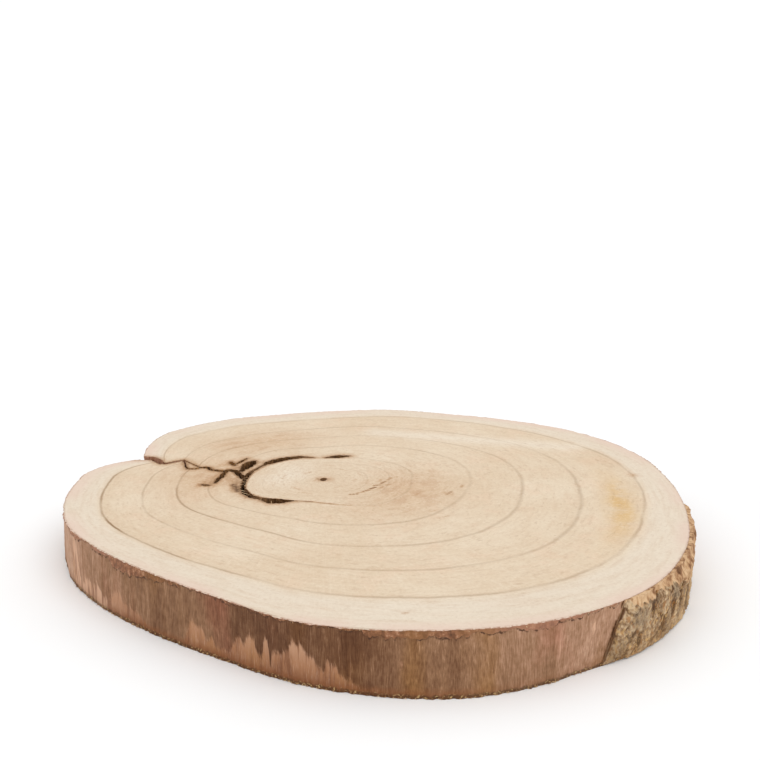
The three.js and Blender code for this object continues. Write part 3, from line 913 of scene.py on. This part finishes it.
def bark_piece(material):
    """A block bent round the wall: a fine outer face, and an inner face a small gap away from the wood."""
    heights = np.linspace(BARK_BOTTOM, BARK_TOP, BARK_ROWS)[:, None]
    near, far = bark_angles(heights)
    along = np.linspace(0, 1, BARK_COLUMNS)[None, :]
    angle = near + (far - near) * along
    height = heights + 0 * angle
    relief = bark_relief(angle, height)
    broken = broken_edge(angle, height)
    end_distance = np.minimum(angle - near, far - angle)
    taper = BARK_END_SHARE + (1 - BARK_END_SHARE) * smooth_step(end_distance, 0, BARK_END_TAPER)
    inner = wall_base(angle, height) + BARK_GAP
    outer = inner + np.maximum(bark_thickness(angle, height, relief) * taper, BARK_THINNEST)
    outer_points = round_points(angle, outer, height).reshape(-1, 3)
    inner_points = round_points(angle, inner, height)[[0, -1]].reshape(-1, 3)
    index = np.arange(BARK_ROWS * BARK_COLUMNS).reshape(BARK_ROWS, BARK_COLUMNS)
    low = BARK_ROWS * BARK_COLUMNS + np.arange(BARK_COLUMNS)
    high = low + BARK_COLUMNS
    squares = np.stack([index[:-1, :-1], index[:-1, 1:], index[1:, 1:], index[1:, :-1]], -1)
    faces = squares.reshape(-1, 4).tolist()
    faces += np.stack([low[1:], low[:-1], high[:-1], high[1:]], -1).tolist()
    faces += np.stack([low[:-1], low[1:], index[0, 1:], index[0, :-1]], -1).tolist()
    faces += np.stack([index[-1, :-1], index[-1, 1:], high[1:], high[:-1]], -1).tolist()
    faces.append([int(low[0])] + index[:, 0].tolist() + [int(high[0])])
    faces.append([int(high[-1])] + index[::-1, -1].tolist() + [int(low[-1])])
    piece = new_piece("bark_strip", np.concatenate([outer_points, inner_points]), faces, [material])
    turn_outward(piece.data)
    # Painted shade at the bark's ends; the inner lower edge gets 0.8 of it, the inner upper edge none.
    ends = 1 - smooth_step(end_distance, 0.02, 0.2)
    # Each value on the outer face, then along the inner lower edge and the inner upper edge.
    layers = {
        "relief": (relief, 0.2, 0.5),
        "broken": (broken, 0.0, 1.0),
        "height": (height / THICKNESS, 0.0, 1.0),
        "end": (ends, 0.8, 0.0),
        "grey": (spot_share(BARK_GREY, angle, height), 0.0, 0.0),
    }
    for name, (values, lower, upper) in layers.items():
        edges = np.repeat([lower, upper], BARK_COLUMNS)
        write_attribute(piece.data, name, np.concatenate([values.ravel(), edges]))
    return piece


# Splinters and fibres

def sliver_piece(name, roots, tips, thicknesses, material):
    """Thin three-sided slivers of wood, each a closed spike that bends a little between root and tip."""
    points, faces = [], []
    for root, tip, thickness in zip(roots, tips, thicknesses):
        root, tip = Vector(root), Vector(tip)
        along = (tip - root).normalized()
        side = along.orthogonal().normalized() * thickness
        other = along.cross(side)
        first = len(points)
        middle = root.lerp(tip, SLIVER_BEND_PLACE) + SLIVER_BEND * other
        for centre, size in ((root, 1.0), (middle, SLIVER_MIDDLE)):
            for turn in range(3):
                angle = 2 * math.pi * turn / 3
                corner = centre + size * (math.cos(angle) * side + math.sin(angle) * other)
                corner.z = max(corner.z, SLIVER_LOWEST)
                points.append(corner)
        points.append(tip)
        for turn in range(3):
            after = (turn + 1) % 3
            faces.append((first + turn, first + after, first + 3 + after, first + 3 + turn))
            faces.append((first + 3 + turn, first + 3 + after, first + 6))
        faces.append((first + 2, first + 1, first))
    piece = new_piece(name, [tuple(point) for point in points], faces, [material])
    turn_outward(piece.data)
    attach(piece, "root")


def on_wall(angle, height, out):
    radius = wall_radius(np.array([angle]), np.array([height])) + out
    return tuple(round_points(angle, float(radius[0]), height))


def rim_splinters(material):
    """Frayed ends along both edges of the rim: pale whiskers below, torn threads above."""
    draw = np.random.default_rng(12)
    roots, tips, sizes = [], [], []
    for edge, count, lengths, outward in SPLINTERS:
        for _ in range(count):
            in_front = edge == "upper" or draw.random() < LOWER_SPLINTERS_IN_FRONT
            angle = draw.uniform(*(SPLINTER_FRONT if in_front else SPLINTER_BACK))
            lean = draw.normal(0, SPLINTER_LEAN)
            length = draw.uniform(*lengths)
            if edge == "lower":
                start, end = draw.uniform(*LOWER_ROOTS), LOWER_TIP
            else:
                start, end = THICKNESS - draw.uniform(*UPPER_ROOTS), THICKNESS - draw.uniform(*UPPER_TIPS)
            turn = math.degrees(lean * length / NOISE_RADIUS)
            roots.append(on_wall(angle, start, -SPLINTER_ROOT))
            tips.append(on_wall(angle + turn, min(end, THICKNESS), outward * length)[:2] + (end,))
            sizes.append(draw.uniform(*SPLINTER_SIZES))
    sliver_piece("rim_splinters", roots, tips, sizes, material)


def crack_fibres(material):
    """Pale fibres that still bridge the ring shake, a little below the upper face."""
    draw = np.random.default_rng(8)
    _, path = resampled(RING_SHAKE, FIBRE_SPACING)
    bridged = path[(path[:, 1] < BRIDGED_BELOW_Y) & (path[:, 0] < BRIDGED_BELOW_X)]
    roots, tips, sizes = [], [], []
    for index in np.sort(draw.integers(2, len(bridged) - 3, FIBRE_COUNT)):
        x, y, half = bridged[index]
        heading = bridged[index + 2, :2] - bridged[index - 2, :2]
        heading = heading / np.linalg.norm(heading)
        across = np.array([-heading[1], heading[0]]) + draw.uniform(-FIBRE_SLANT, FIBRE_SLANT) * heading
        reach = half + draw.uniform(*FIBRE_GRIPS)
        top = THICKNESS - draw.uniform(*FIBRE_DEPTHS)
        roots.append((x - across[0] * reach, y - across[1] * reach, top))
        tips.append((x + across[0] * reach, y + across[1] * reach, top - draw.uniform(*FIBRE_DROPS)))
        sizes.append(draw.uniform(*FIBRE_SIZES))
    sliver_piece("crack_fibres", roots, tips, sizes, material)


# Node trees

class Wiring:
    """Short ways to add and join nodes in one tree."""

    def __init__(self, tree):
        self.tree = tree

    def feed(self, socket, value):
        if isinstance(value, bpy.types.NodeSocket):
            self.tree.links.new(value, socket)
        else:
            socket.default_value = value

    def node(self, kind, feeds=None, **settings):
        """A new node with its settings, and with its inputs fed by name or number."""
        made = self.tree.nodes.new("ShaderNode" + kind)
        for name, value in settings.items():
            setattr(made, name, value)
        for socket, value in (feeds or {}).items():
            self.feed(made.inputs[socket], value)
        return made

    def math(self, operation, first, second=0.0, clamp=False):
        return self.node("Math", {0: first, 1: second}, operation=operation, use_clamp=clamp).outputs[0]

    def plus(self, first, second, clamp=False):
        return self.math("ADD", first, second, clamp)

    def minus(self, first, second):
        return self.math("SUBTRACT", first, second)

    def times(self, first, second):
        return self.math("MULTIPLY", first, second)

    def inverse(self, share):
        return self.minus(1.0, share)

    def centred(self, share):
        return self.minus(share, 0.5)

    def stirred(self, base, *additions):
        """The base with several values added, each times its strength."""
        for value, strength in additions:
            base = self.plus(base, self.times(value, strength))
        return base

    def band(self, value, low, high):
        """A soft step from 0 at low to 1 at high."""
        feeds = {"Value": value, "From Min": low, "From Max": high}
        return self.node("MapRange", feeds, interpolation_type="SMOOTHSTEP").outputs["Result"]

    def mix(self, share, first, second, blend="MIX", label=""):
        feeds = {0: share, 6: first, 7: second}
        return self.node("Mix", feeds, data_type="RGBA", blend_type=blend, label=label).outputs[2]

    def coats(self, base, **coats):
        """Named tints laid over the base in order, each a colour as on a screen, a share and a strength."""
        for name, (shade, share, strength) in coats.items():
            base = self.mix(self.times(share, strength), base, solid_colour(*shade), label=name)
        return base

    def ramp(self, value, *stops):
        """A colour ramp, each stop its place and then a colour as on a screen."""
        made = self.node("ValToRGB", {"Fac": value})
        elements = made.color_ramp.elements
        while len(elements) < len(stops):
            elements.new(0.5)
        for element, (place, *shade) in zip(elements, stops):
            element.position = place
            element.color = solid_colour(*shade)
        return made.outputs["Color"]

    def noise(self, vector, scale, detail=2.0, roughness=0.5):
        feeds = {"Vector": vector, "Scale": scale, "Detail": detail, "Roughness": roughness}
        return self.node("TexNoise", feeds).outputs["Fac"]

    def vector(self, operation, first, second=(0, 0, 0)):
        return self.node("VectorMath", {0: first, 1: second}, operation=operation).outputs["Vector"]

    def attribute(self, name):
        return self.node("Attribute", attribute_name=name).outputs["Fac"]

    def place(self):
        return self.node("TexCoord").outputs["Object"]

    def group(self, tree, **inputs):
        return self.node("Group", inputs, node_tree=tree).outputs


def solid_colour(red, green, blue):
    """A colour given as on a screen, 0 to 255, in Blender's linear values."""
    shares = (channel / 255 for channel in (red, green, blue))
    return (*(c / 12.92 if c <= 0.04045 else ((c + 0.055) / 1.055) ** 2.4 for c in shares), 1.0)


def new_group(name, inputs, outputs):
    """An empty node group with vector or float inputs and float outputs."""
    tree = bpy.data.node_groups.new(name, "ShaderNodeTree")
    for socket, kind in inputs.items():
        tree.interface.new_socket(name=socket, in_out="INPUT", socket_type="NodeSocket" + kind)
    for socket in outputs:
        tree.interface.new_socket(name=socket, in_out="OUTPUT", socket_type="NodeSocketFloat")
    start = tree.nodes.new("NodeGroupInput")
    end = tree.nodes.new("NodeGroupOutput")
    return tree, Wiring(tree), start.outputs, end.inputs


def ring_grain_group():
    """Grain of a sawn end: pores, bands and arcs along the rings, rays out from the pith, and speckle."""
    outputs = ("Pores", "Bands", "Arcs", "Rays", "Speckle")
    tree, w, start, end = new_group("ring_grain", {"Place": "Vector", "Age": "Float"}, outputs)
    from_pith = w.vector("SUBTRACT", start["Place"], (PITH[0] * MM, PITH[1] * MM, 0))
    heading = w.vector("NORMALIZE", w.vector("MULTIPLY", from_pith, (1, 1, 0)))

    def drawn_out(around, outward):
        spread = w.vector("MULTIPLY", heading, (around, around, 0))
        lift = w.node("CombineXYZ", {"Z": w.times(start["Age"], outward)})
        return w.vector("ADD", spread, lift.outputs["Vector"])

    w.feed(end["Pores"], w.noise(drawn_out(26, 20), 1.0, 3.0, 0.6))
    w.feed(end["Bands"], w.noise(drawn_out(9, 9), 1.0, 3.0, 0.65))
    w.feed(end["Arcs"], w.noise(drawn_out(5, 4), 1.0, 3.0, 0.6))
    w.feed(end["Rays"], w.noise(drawn_out(190, 1.4), 1.0, 2.0, 0.5))
    w.feed(end["Speckle"], w.noise(start["Place"], 750.0, 3.0, 0.65))
    return tree


def upright_fibres_group():
    """Fibres that run up the trunk: fine threads and broader strands drawn out along Z, and soft clouds."""
    outputs = ("Threads", "Strands", "Clouds")
    tree, w, start, end = new_group("upright_fibres", {"Place": "Vector"}, outputs)
    drawn = w.vector("MULTIPLY", start["Place"], (1, 1, 0.08))
    clouds = w.vector("MULTIPLY", start["Place"], (1, 1, 0.45))
    w.feed(end["Threads"], w.noise(drawn, 1900.0, 3.0, 0.65))
    w.feed(end["Strands"], w.noise(drawn, 420.0, 3.0, 0.55))
    w.feed(end["Clouds"], w.noise(clouds, 70.0, 3.0, 0.55))
    return tree


def new_material(name, roughness):
    material = bpy.data.materials.new(name)
    material.use_nodes = True
    shader = material.node_tree.nodes["Principled BSDF"]
    shader.inputs["Roughness"].default_value = roughness
    shader.inputs["Specular IOR Level"].default_value = DRY_SHINE
    return material, Wiring(material.node_tree), shader


def add_bump(w, shader, height, strength, distance):
    bumped = w.node("Bump", {"Strength": strength, "Distance": distance * MM, "Height": height})
    w.feed(shader.inputs["Normal"], bumped.outputs["Normal"])


def sawn_face_material(grain):
    """Pale sawn end grain: soft ring lines, pores and rays, a pale outer ring, and stains by the cracks."""
    material, w, shader = new_material("sawn_face", 0.75)
    place = w.place()
    age = w.attribute("age")
    ring_line = w.attribute("ring_line")
    tanned = w.attribute("tanned")
    edge = w.attribute("edge")
    drift = w.centred(w.noise(place, 45.0))
    tremble = w.centred(w.noise(place, 380.0))
    bent = w.stirred(age, (drift, 0.07), (tremble, 0.03))
    marks = w.group(grain, Place=place, Age=bent)
    speckle = marks["Speckle"]

    patchy = w.plus(w.times(w.band(w.noise(place, 30.0), 0.3, 0.65), 0.7), 0.4)
    line = w.inverse(w.band(w.math("PINGPONG", bent, 0.5), 0.0, 0.058))
    line = w.times(line, w.times(ring_line, patchy))
    late = w.times(w.band(w.math("FRACT", bent), 0.5, 1.0), ring_line)
    outer = w.band(age, 7.9, 8.25)
    core = w.plus(1.0, w.inverse(w.band(age, 3.4, 5.2)))
    honey = w.times(w.attribute("honey"), w.band(w.noise(place, 90.0), 0.05, 0.65))
    bands = w.times(w.band(marks["Bands"], 0.4, 0.75), core)
    arcs = w.times(w.band(marks["Arcs"], 0.46, 0.66), tanned)
    pores = w.times(w.band(marks["Pores"], 0.54, 0.74), w.minus(0.85, w.times(outer, 0.45)))
    blush = w.times(w.inverse(w.band(edge, 0.3, 11.0)), w.band(w.noise(place, 26.0), 0.3, 0.6))
    fringe = w.times(w.inverse(w.band(edge, -0.4, 0.9)), w.band(speckle, 0.4, 0.6))
    stain = w.times(w.attribute("stain"), w.plus(0.35, w.times(speckle, 1.3)))

    wood = w.ramp(w.noise(place, 22.0, 4.0, 0.6), (0.3, 211, 189, 161), (0.7, 220, 203, 179))
    wood = w.coats(
        wood,
        pinker=((220, 191, 164), w.band(w.noise(place, 58.0, 3.0, 0.6), 0.5, 0.68), 0.3),
        tanned=((202, 170, 136), tanned, 0.75),
        late_wood=((196, 170, 138), late, 0.22),
        pale_outer_ring=((220, 208, 191), outer, 0.7),
        bleached=((225, 212, 193), w.attribute("bleached"), 0.85),
        honey=((208, 170, 110), honey, 1.0),
        bands=((192, 160, 128), bands, 0.26),
        arcs=((184, 146, 112), arcs, 0.55),
        pores=((168, 134, 102), w.times(pores, core), 0.36),
        rays=((230, 216, 196), w.band(marks["Rays"], 0.48, 0.75), 0.16),
        dark_speckle=((176, 148, 118), w.band(speckle, 0.5, 0.72), 0.2),
        light_speckle=((236, 224, 206), w.inverse(w.band(speckle, 0.3, 0.48)), 0.22),
        ring_lines=((142, 110, 76), line, 0.85),
        blush=((218, 190, 175), blush, 0.6),
        brown_fringe=((160, 118, 96), fringe, 1.0),
        stain=((168, 116, 62), w.band(stain, 0.02, 0.7), 0.6),
        dark_stain=((92, 62, 33), w.band(stain, 0.35, 1.1), 1.0),
    )
    w.feed(shader.inputs["Base Color"], wood)
    add_bump(w, shader, w.minus(speckle, w.times(pores, 0.3)), 0.35, 0.3)
    return material


def peeled_rim_material(fibres):
    """Inner bark left by the drawknife: brown threads, bare pink-tan scrapes and torn red-brown flakes, with
    painted shadow under the flakes and painted shade beside the bark seam and along the lower edge.
    """
    material, w, shader = new_material("peeled_rim", 0.8)
    place = w.place()
    # The tone attribute is the skin's own tone round the rim, with painted shade along the bark seam taken
    # off it.
    rim_tone = w.attribute("tone")
    height = w.attribute("height")
    streaks = w.group(fibres, Place=place)
    strands, threads, clouds = (w.centred(streaks[name]) for name in ("Strands", "Threads", "Clouds"))
    torn = w.noise(place, 420.0, 4.0, 0.65)
    tearing = w.centred(torn)
    mottle = w.centred(w.noise(place, 320.0, 3.0, 0.6))
    drift = w.centred(w.noise(w.vector("MULTIPLY", place, (1, 1, 0.35)), 52.0, 3.0))
    hue = w.stirred(w.attribute("hue"), (drift, 2.4))
    paler = w.band(rim_tone, 0.5, 0.68)

    skin = w.ramp(
        w.stirred(rim_tone, (clouds, 0.5), (strands, 0.35), (threads, 0.9), (mottle, 0.4)),
        (0.0, 84, 50, 28), (0.3, 110, 74, 49), (0.6, 144, 107, 78), (0.85, 174, 134, 107),
        (1.0, 194, 156, 130),
    )
    skin = w.mix(w.band(hue, 0.1, 1.0), skin, OCHRE_FILTER, "MULTIPLY", "ochre")
    skin = w.mix(w.band(w.times(hue, -1.0), 0.1, 1.0), skin, PLUM_FILTER, "MULTIPLY", "plum")

    bare = w.ramp(
        w.stirred(height, (strands, 0.35)),
        (0.03, 116, 71, 45), (0.12, 144, 97, 66), (0.3, 168, 119, 85), (0.6, 194, 149, 117),
    )
    bare = w.coats(
        bare,
        paler=((214, 172, 143), paler, 0.85),
        dark_strands=((124, 80, 54), w.inverse(w.band(streaks["Strands"], 0.38, 0.49)), 0.7),
        ochre=((172, 122, 76), w.band(w.stirred(drift, (mottle, 0.5)), 0.0, 0.2), 0.4),
        pale_threads=((206, 168, 142), w.band(streaks["Threads"], 0.5, 0.72), 0.4),
    )
    feathered = w.stirred(w.attribute("bare_wood"), (strands, 6.5), (threads, 5.5))
    rim = w.mix(w.times(w.band(feathered, -1.7, 1.9), 0.9), skin, bare, label="bare_wood")

    flake = w.ramp(torn, (0.32, 88, 57, 39), (0.48, 130, 86, 60), (0.58, 154, 106, 76), (0.7, 194, 148, 118))
    flake = w.coats(
        flake,
        paler=((182, 132, 108), paler, 0.5),
        olive=((138, 96, 54), w.band(hue, -0.1, 0.6), 0.55),
    )
    flake_depth = w.stirred(w.attribute("flake"), (tearing, 2.2))
    on_flake = w.band(flake_depth, -0.1, 0.3)
    rim = w.mix(w.times(on_flake, 0.9), rim, flake, label="flakes")

    # Painted shadow: a dark line on the skin just below the lower edge of each flake.
    seam = w.minus(w.band(flake_depth, -1.0, -0.3), on_flake)
    ragged = w.stirred(height, (tearing, 0.12))
    russet = w.times(w.inverse(w.band(ragged, 0.05, 0.19)), w.minus(0.62, w.times(paler, 0.4)))
    # Painted shade along the wall's lower edge: a dark strip at the foot, with pale specks over it.
    foot = w.inverse(w.band(ragged, 0.03, 0.085))
    rim = w.coats(
        rim,
        flake_seam=((78, 50, 34), w.times(seam, w.band(torn, 0.42, 0.6)), 1.0),
        russet=((130, 78, 42), russet, 1.0),
        dark_foot=((76, 50, 28), foot, 0.75),
        pale_specks=((198, 164, 112), w.times(w.band(w.noise(place, 1100.0), 0.56, 0.64), foot), 0.8),
    )
    w.feed(shader.inputs["Base Color"], rim)
    add_bump(w, shader, w.plus(streaks["Threads"], torn), 0.6, 0.4)
    return material


def crack_wall_material(fibres):
    """Torn wood inside the cracks: dark brown, browner with painted light where light gets in, pink-brown
    towards the rim, and darker with painted shade lower down.
    """
    material, w, shader = new_material("crack_wall", 0.9)
    place = w.place()
    age = w.attribute("age")
    streaks = w.group(fibres, Place=place)
    torn = w.noise(place, 520.0, 3.0, 0.6)
    # Painted light: lighter brown on the crack walls at the listed spots.
    browned = w.times(w.attribute("browned"), w.band(streaks["Strands"], 0.25, 0.6))
    # Painted light: a golden band on the crack walls near ring five, where light gets in.
    gilded = w.times(w.band(age, 4.7, 5.2), w.band(torn, 0.36, 0.56))
    wall = w.ramp(torn, (0.35, 66, 40, 15), (0.55, 100, 66, 33), (0.75, 150, 108, 66))
    wall = w.coats(
        wall,
        browned=((178, 136, 96), browned, 0.8),
        pale_threads=((190, 148, 104), w.band(streaks["Threads"], 0.5, 0.7), 0.3),
        gilded=((178, 130, 78), gilded, 0.85),
    )
    mouth = w.band(age, 6.3, 7.3)
    mouth_tint = w.ramp(streaks["Strands"], (0.3, 120, 78, 54), (0.5, 158, 112, 88), (0.68, 190, 144, 120))
    wall = w.mix(w.times(mouth, 0.85), wall, mouth_tint, label="mouth")
    # Painted shade: the crack walls darken lower down, less at the lit band and near the mouth.
    lit = w.plus(w.times(gilded, 0.5), w.times(mouth, 0.25))
    deep = w.times(w.inverse(w.band(w.attribute("height"), 0.55, 0.99)), w.minus(0.85, lit))
    wall = w.coats(wall, deep=((62, 38, 15), deep, 1.0))
    w.feed(shader.inputs["Base Color"], wall)
    add_bump(w, shader, w.plus(streaks["Threads"], torn), 0.6, 0.5)
    return material


def rough_bark_material(fibres):
    """Weathered outer bark: dark gaps, grey-brown grains, golden flecks and a pink-tan broken edge, with
    painted shade at its ends.
    """
    material, w, shader = new_material("rough_bark", 0.92)
    place = w.place()
    height = w.attribute("height")
    streaks = w.group(fibres, Place=place)
    grit = w.noise(place, 850.0, 3.0, 0.65)
    upright = w.vector("MULTIPLY", place, (1, 1, 0.6))
    aside = w.vector("ADD", upright, (0.9, 2.3, 1.1))
    flecks = w.times(w.band(w.noise(upright, 640.0, 3.0, 0.6), 0.52, 0.62), w.minus(1.2, height))
    grey = w.plus(w.band(w.noise(upright, 130.0), 0.5, 0.65), w.attribute("grey"), clamp=True)
    bark = w.ramp(
        w.stirred(w.attribute("relief"), (w.centred(grit), 1.3)),
        (0.0, 92, 63, 40), (0.25, 132, 101, 71), (0.5, 166, 136, 104), (0.85, 212, 184, 148),
    )
    bark = w.coats(
        bark,
        pale_flecks=((218, 176, 116), flecks, 0.8),
        gold_flecks=((166, 110, 54), w.band(w.noise(aside, 480.0, 3.0, 0.6), 0.55, 0.66), 0.7),
        grey=((140, 126, 106), grey, 0.45),
        pits=((78, 50, 28), w.inverse(w.band(w.noise(upright, 720.0), 0.3, 0.4)), 0.6),
        pale_foot=((196, 160, 116), w.inverse(w.band(height, 0.0, 0.6)), 0.3),
        shade=((104, 78, 54), w.inverse(w.band(streaks["Clouds"], 0.32, 0.46)), 0.45),
    )
    shreds = w.noise(w.vector("MULTIPLY", place, (1, 1, 0.4)), 210.0, 4.0, 0.62)
    broken = w.ramp(
        w.stirred(shreds, (w.centred(streaks["Strands"]), 0.6)),
        (0.28, 104, 70, 45), (0.4, 162, 120, 84), (0.5, 200, 160, 120), (0.64, 222, 188, 148),
        (0.76, 188, 142, 100),
    )
    bark = w.mix(w.band(w.attribute("broken"), 0.1, 0.45), bark, broken, label="broken_edge")
    # Painted shade at the bark's ends.
    bark = w.coats(bark, dark_ends=((104, 64, 36), w.attribute("end"), 0.7))
    w.feed(shader.inputs["Base Color"], bark)
    add_bump(w, shader, w.plus(grit, streaks["Threads"]), 0.9, 0.6)
    return material


def sliver_material(fibres):
    """Torn ends of wood fibre, cream to tan."""
    material, w, shader = new_material("torn_fibre", 0.85)
    place = w.place()
    threads = w.group(fibres, Place=place)["Threads"]
    fibre = w.ramp(w.noise(place, 260.0), (0.35, 128, 88, 60), (0.5, 176, 136, 100), (0.62, 214, 186, 146))
    fibre = w.coats(fibre, dark_threads=((150, 108, 74), w.band(threads, 0.5, 0.7), 0.3))
    w.feed(shader.inputs["Base Color"], fibre)
    return material


# Stage, light and camera

def pale_floor():
    material, w, shader = new_material("pale_floor", 0.9)
    paper = w.ramp(w.noise(w.place(), 3.0), (0.3, *FLOOR_SHADE), (0.7, *FLOOR_LIGHT))
    w.feed(shader.inputs["Base Color"], paper)
    mesh = bpy.data.meshes.new("floor")
    corners = [(FLOOR_HALF * x, FLOOR_HALF * y, 0) for x, y in ((-1, -1), (1, -1), (1, 1), (-1, 1))]
    mesh.from_pydata(corners, [], [(0, 1, 2, 3)])
    mesh.materials.append(material)
    floor = add_object("floor", mesh)


def soft_light():
    world = bpy.data.worlds.new("soft_studio")
    world.use_nodes = True
    sky = world.node_tree.nodes["Background"]
    sky.inputs["Color"].default_value = (1, 1, 1, 1)
    sky.inputs["Strength"].default_value = SKY_STRENGTH
    bpy.context.scene.world = world
    lamp = bpy.data.lights.new("key", "SUN")
    lamp.energy = KEY_STRENGTH
    lamp.angle = math.radians(KEY_SPREAD)
    key = add_object("key", lamp)
    key.rotation_euler = Vector(KEY_FROM).to_track_quat("Z", "Y").to_euler()
    bpy.context.scene.view_settings.view_transform = "Standard"


def photo_camera():
    lens = bpy.data.cameras.new("camera")
    lens.sensor_width = SENSOR_MM
    lens.lens = SENSOR_MM * FOCAL_LENGTH_PX / PICTURE_WIDTH_PX
    camera = add_object("camera", lens)
    camera.location = Vector(EYE) * MM
    camera.rotation_euler = (math.radians(90 - PITCH), 0, 0)
    bpy.context.scene.camera = camera


def build_slice(grain, fibres):
    materials = [sawn_face_material(grain), peeled_rim_material(fibres), crack_wall_material(fibres)]
    piece = disc_piece(materials)
    blades = [crack_blade("radial_blade", RADIAL_CRACK, BELOW_SLICE, 1, materials)]
    blades.append(crack_blade("shake_blade", RING_SHAKE, BELOW_SLICE, 2, materials))
    for number, (depth, line) in enumerate(SHALLOW_SPLITS):
        blades.append(crack_blade(f"split_blade_{number}", line, THICKNESS - depth, 3 + number, materials))
    cut_cracks(piece, blades)
    refine_near_cracks(piece.data)
    write_slice_attributes(piece)
    smooth_shading(piece.data, SHARP_WOOD)
    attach(piece, "root")
    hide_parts("wood_slice")


def build_bark(fibres):
    piece = bark_piece(rough_bark_material(fibres))
    smooth_shading(piece.data, SHARP_BARK)
    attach(piece, "root")
    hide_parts("bark_patch")


grain_group = ring_grain_group()
fibre_group = upright_fibres_group()
build_slice(grain_group, fibre_group)
build_bark(fibre_group)
torn_fibre = sliver_material(fibre_group)
rim_splinters(torn_fibre)
crack_fibres(torn_fibre)
pale_floor()
soft_light()
photo_camera()
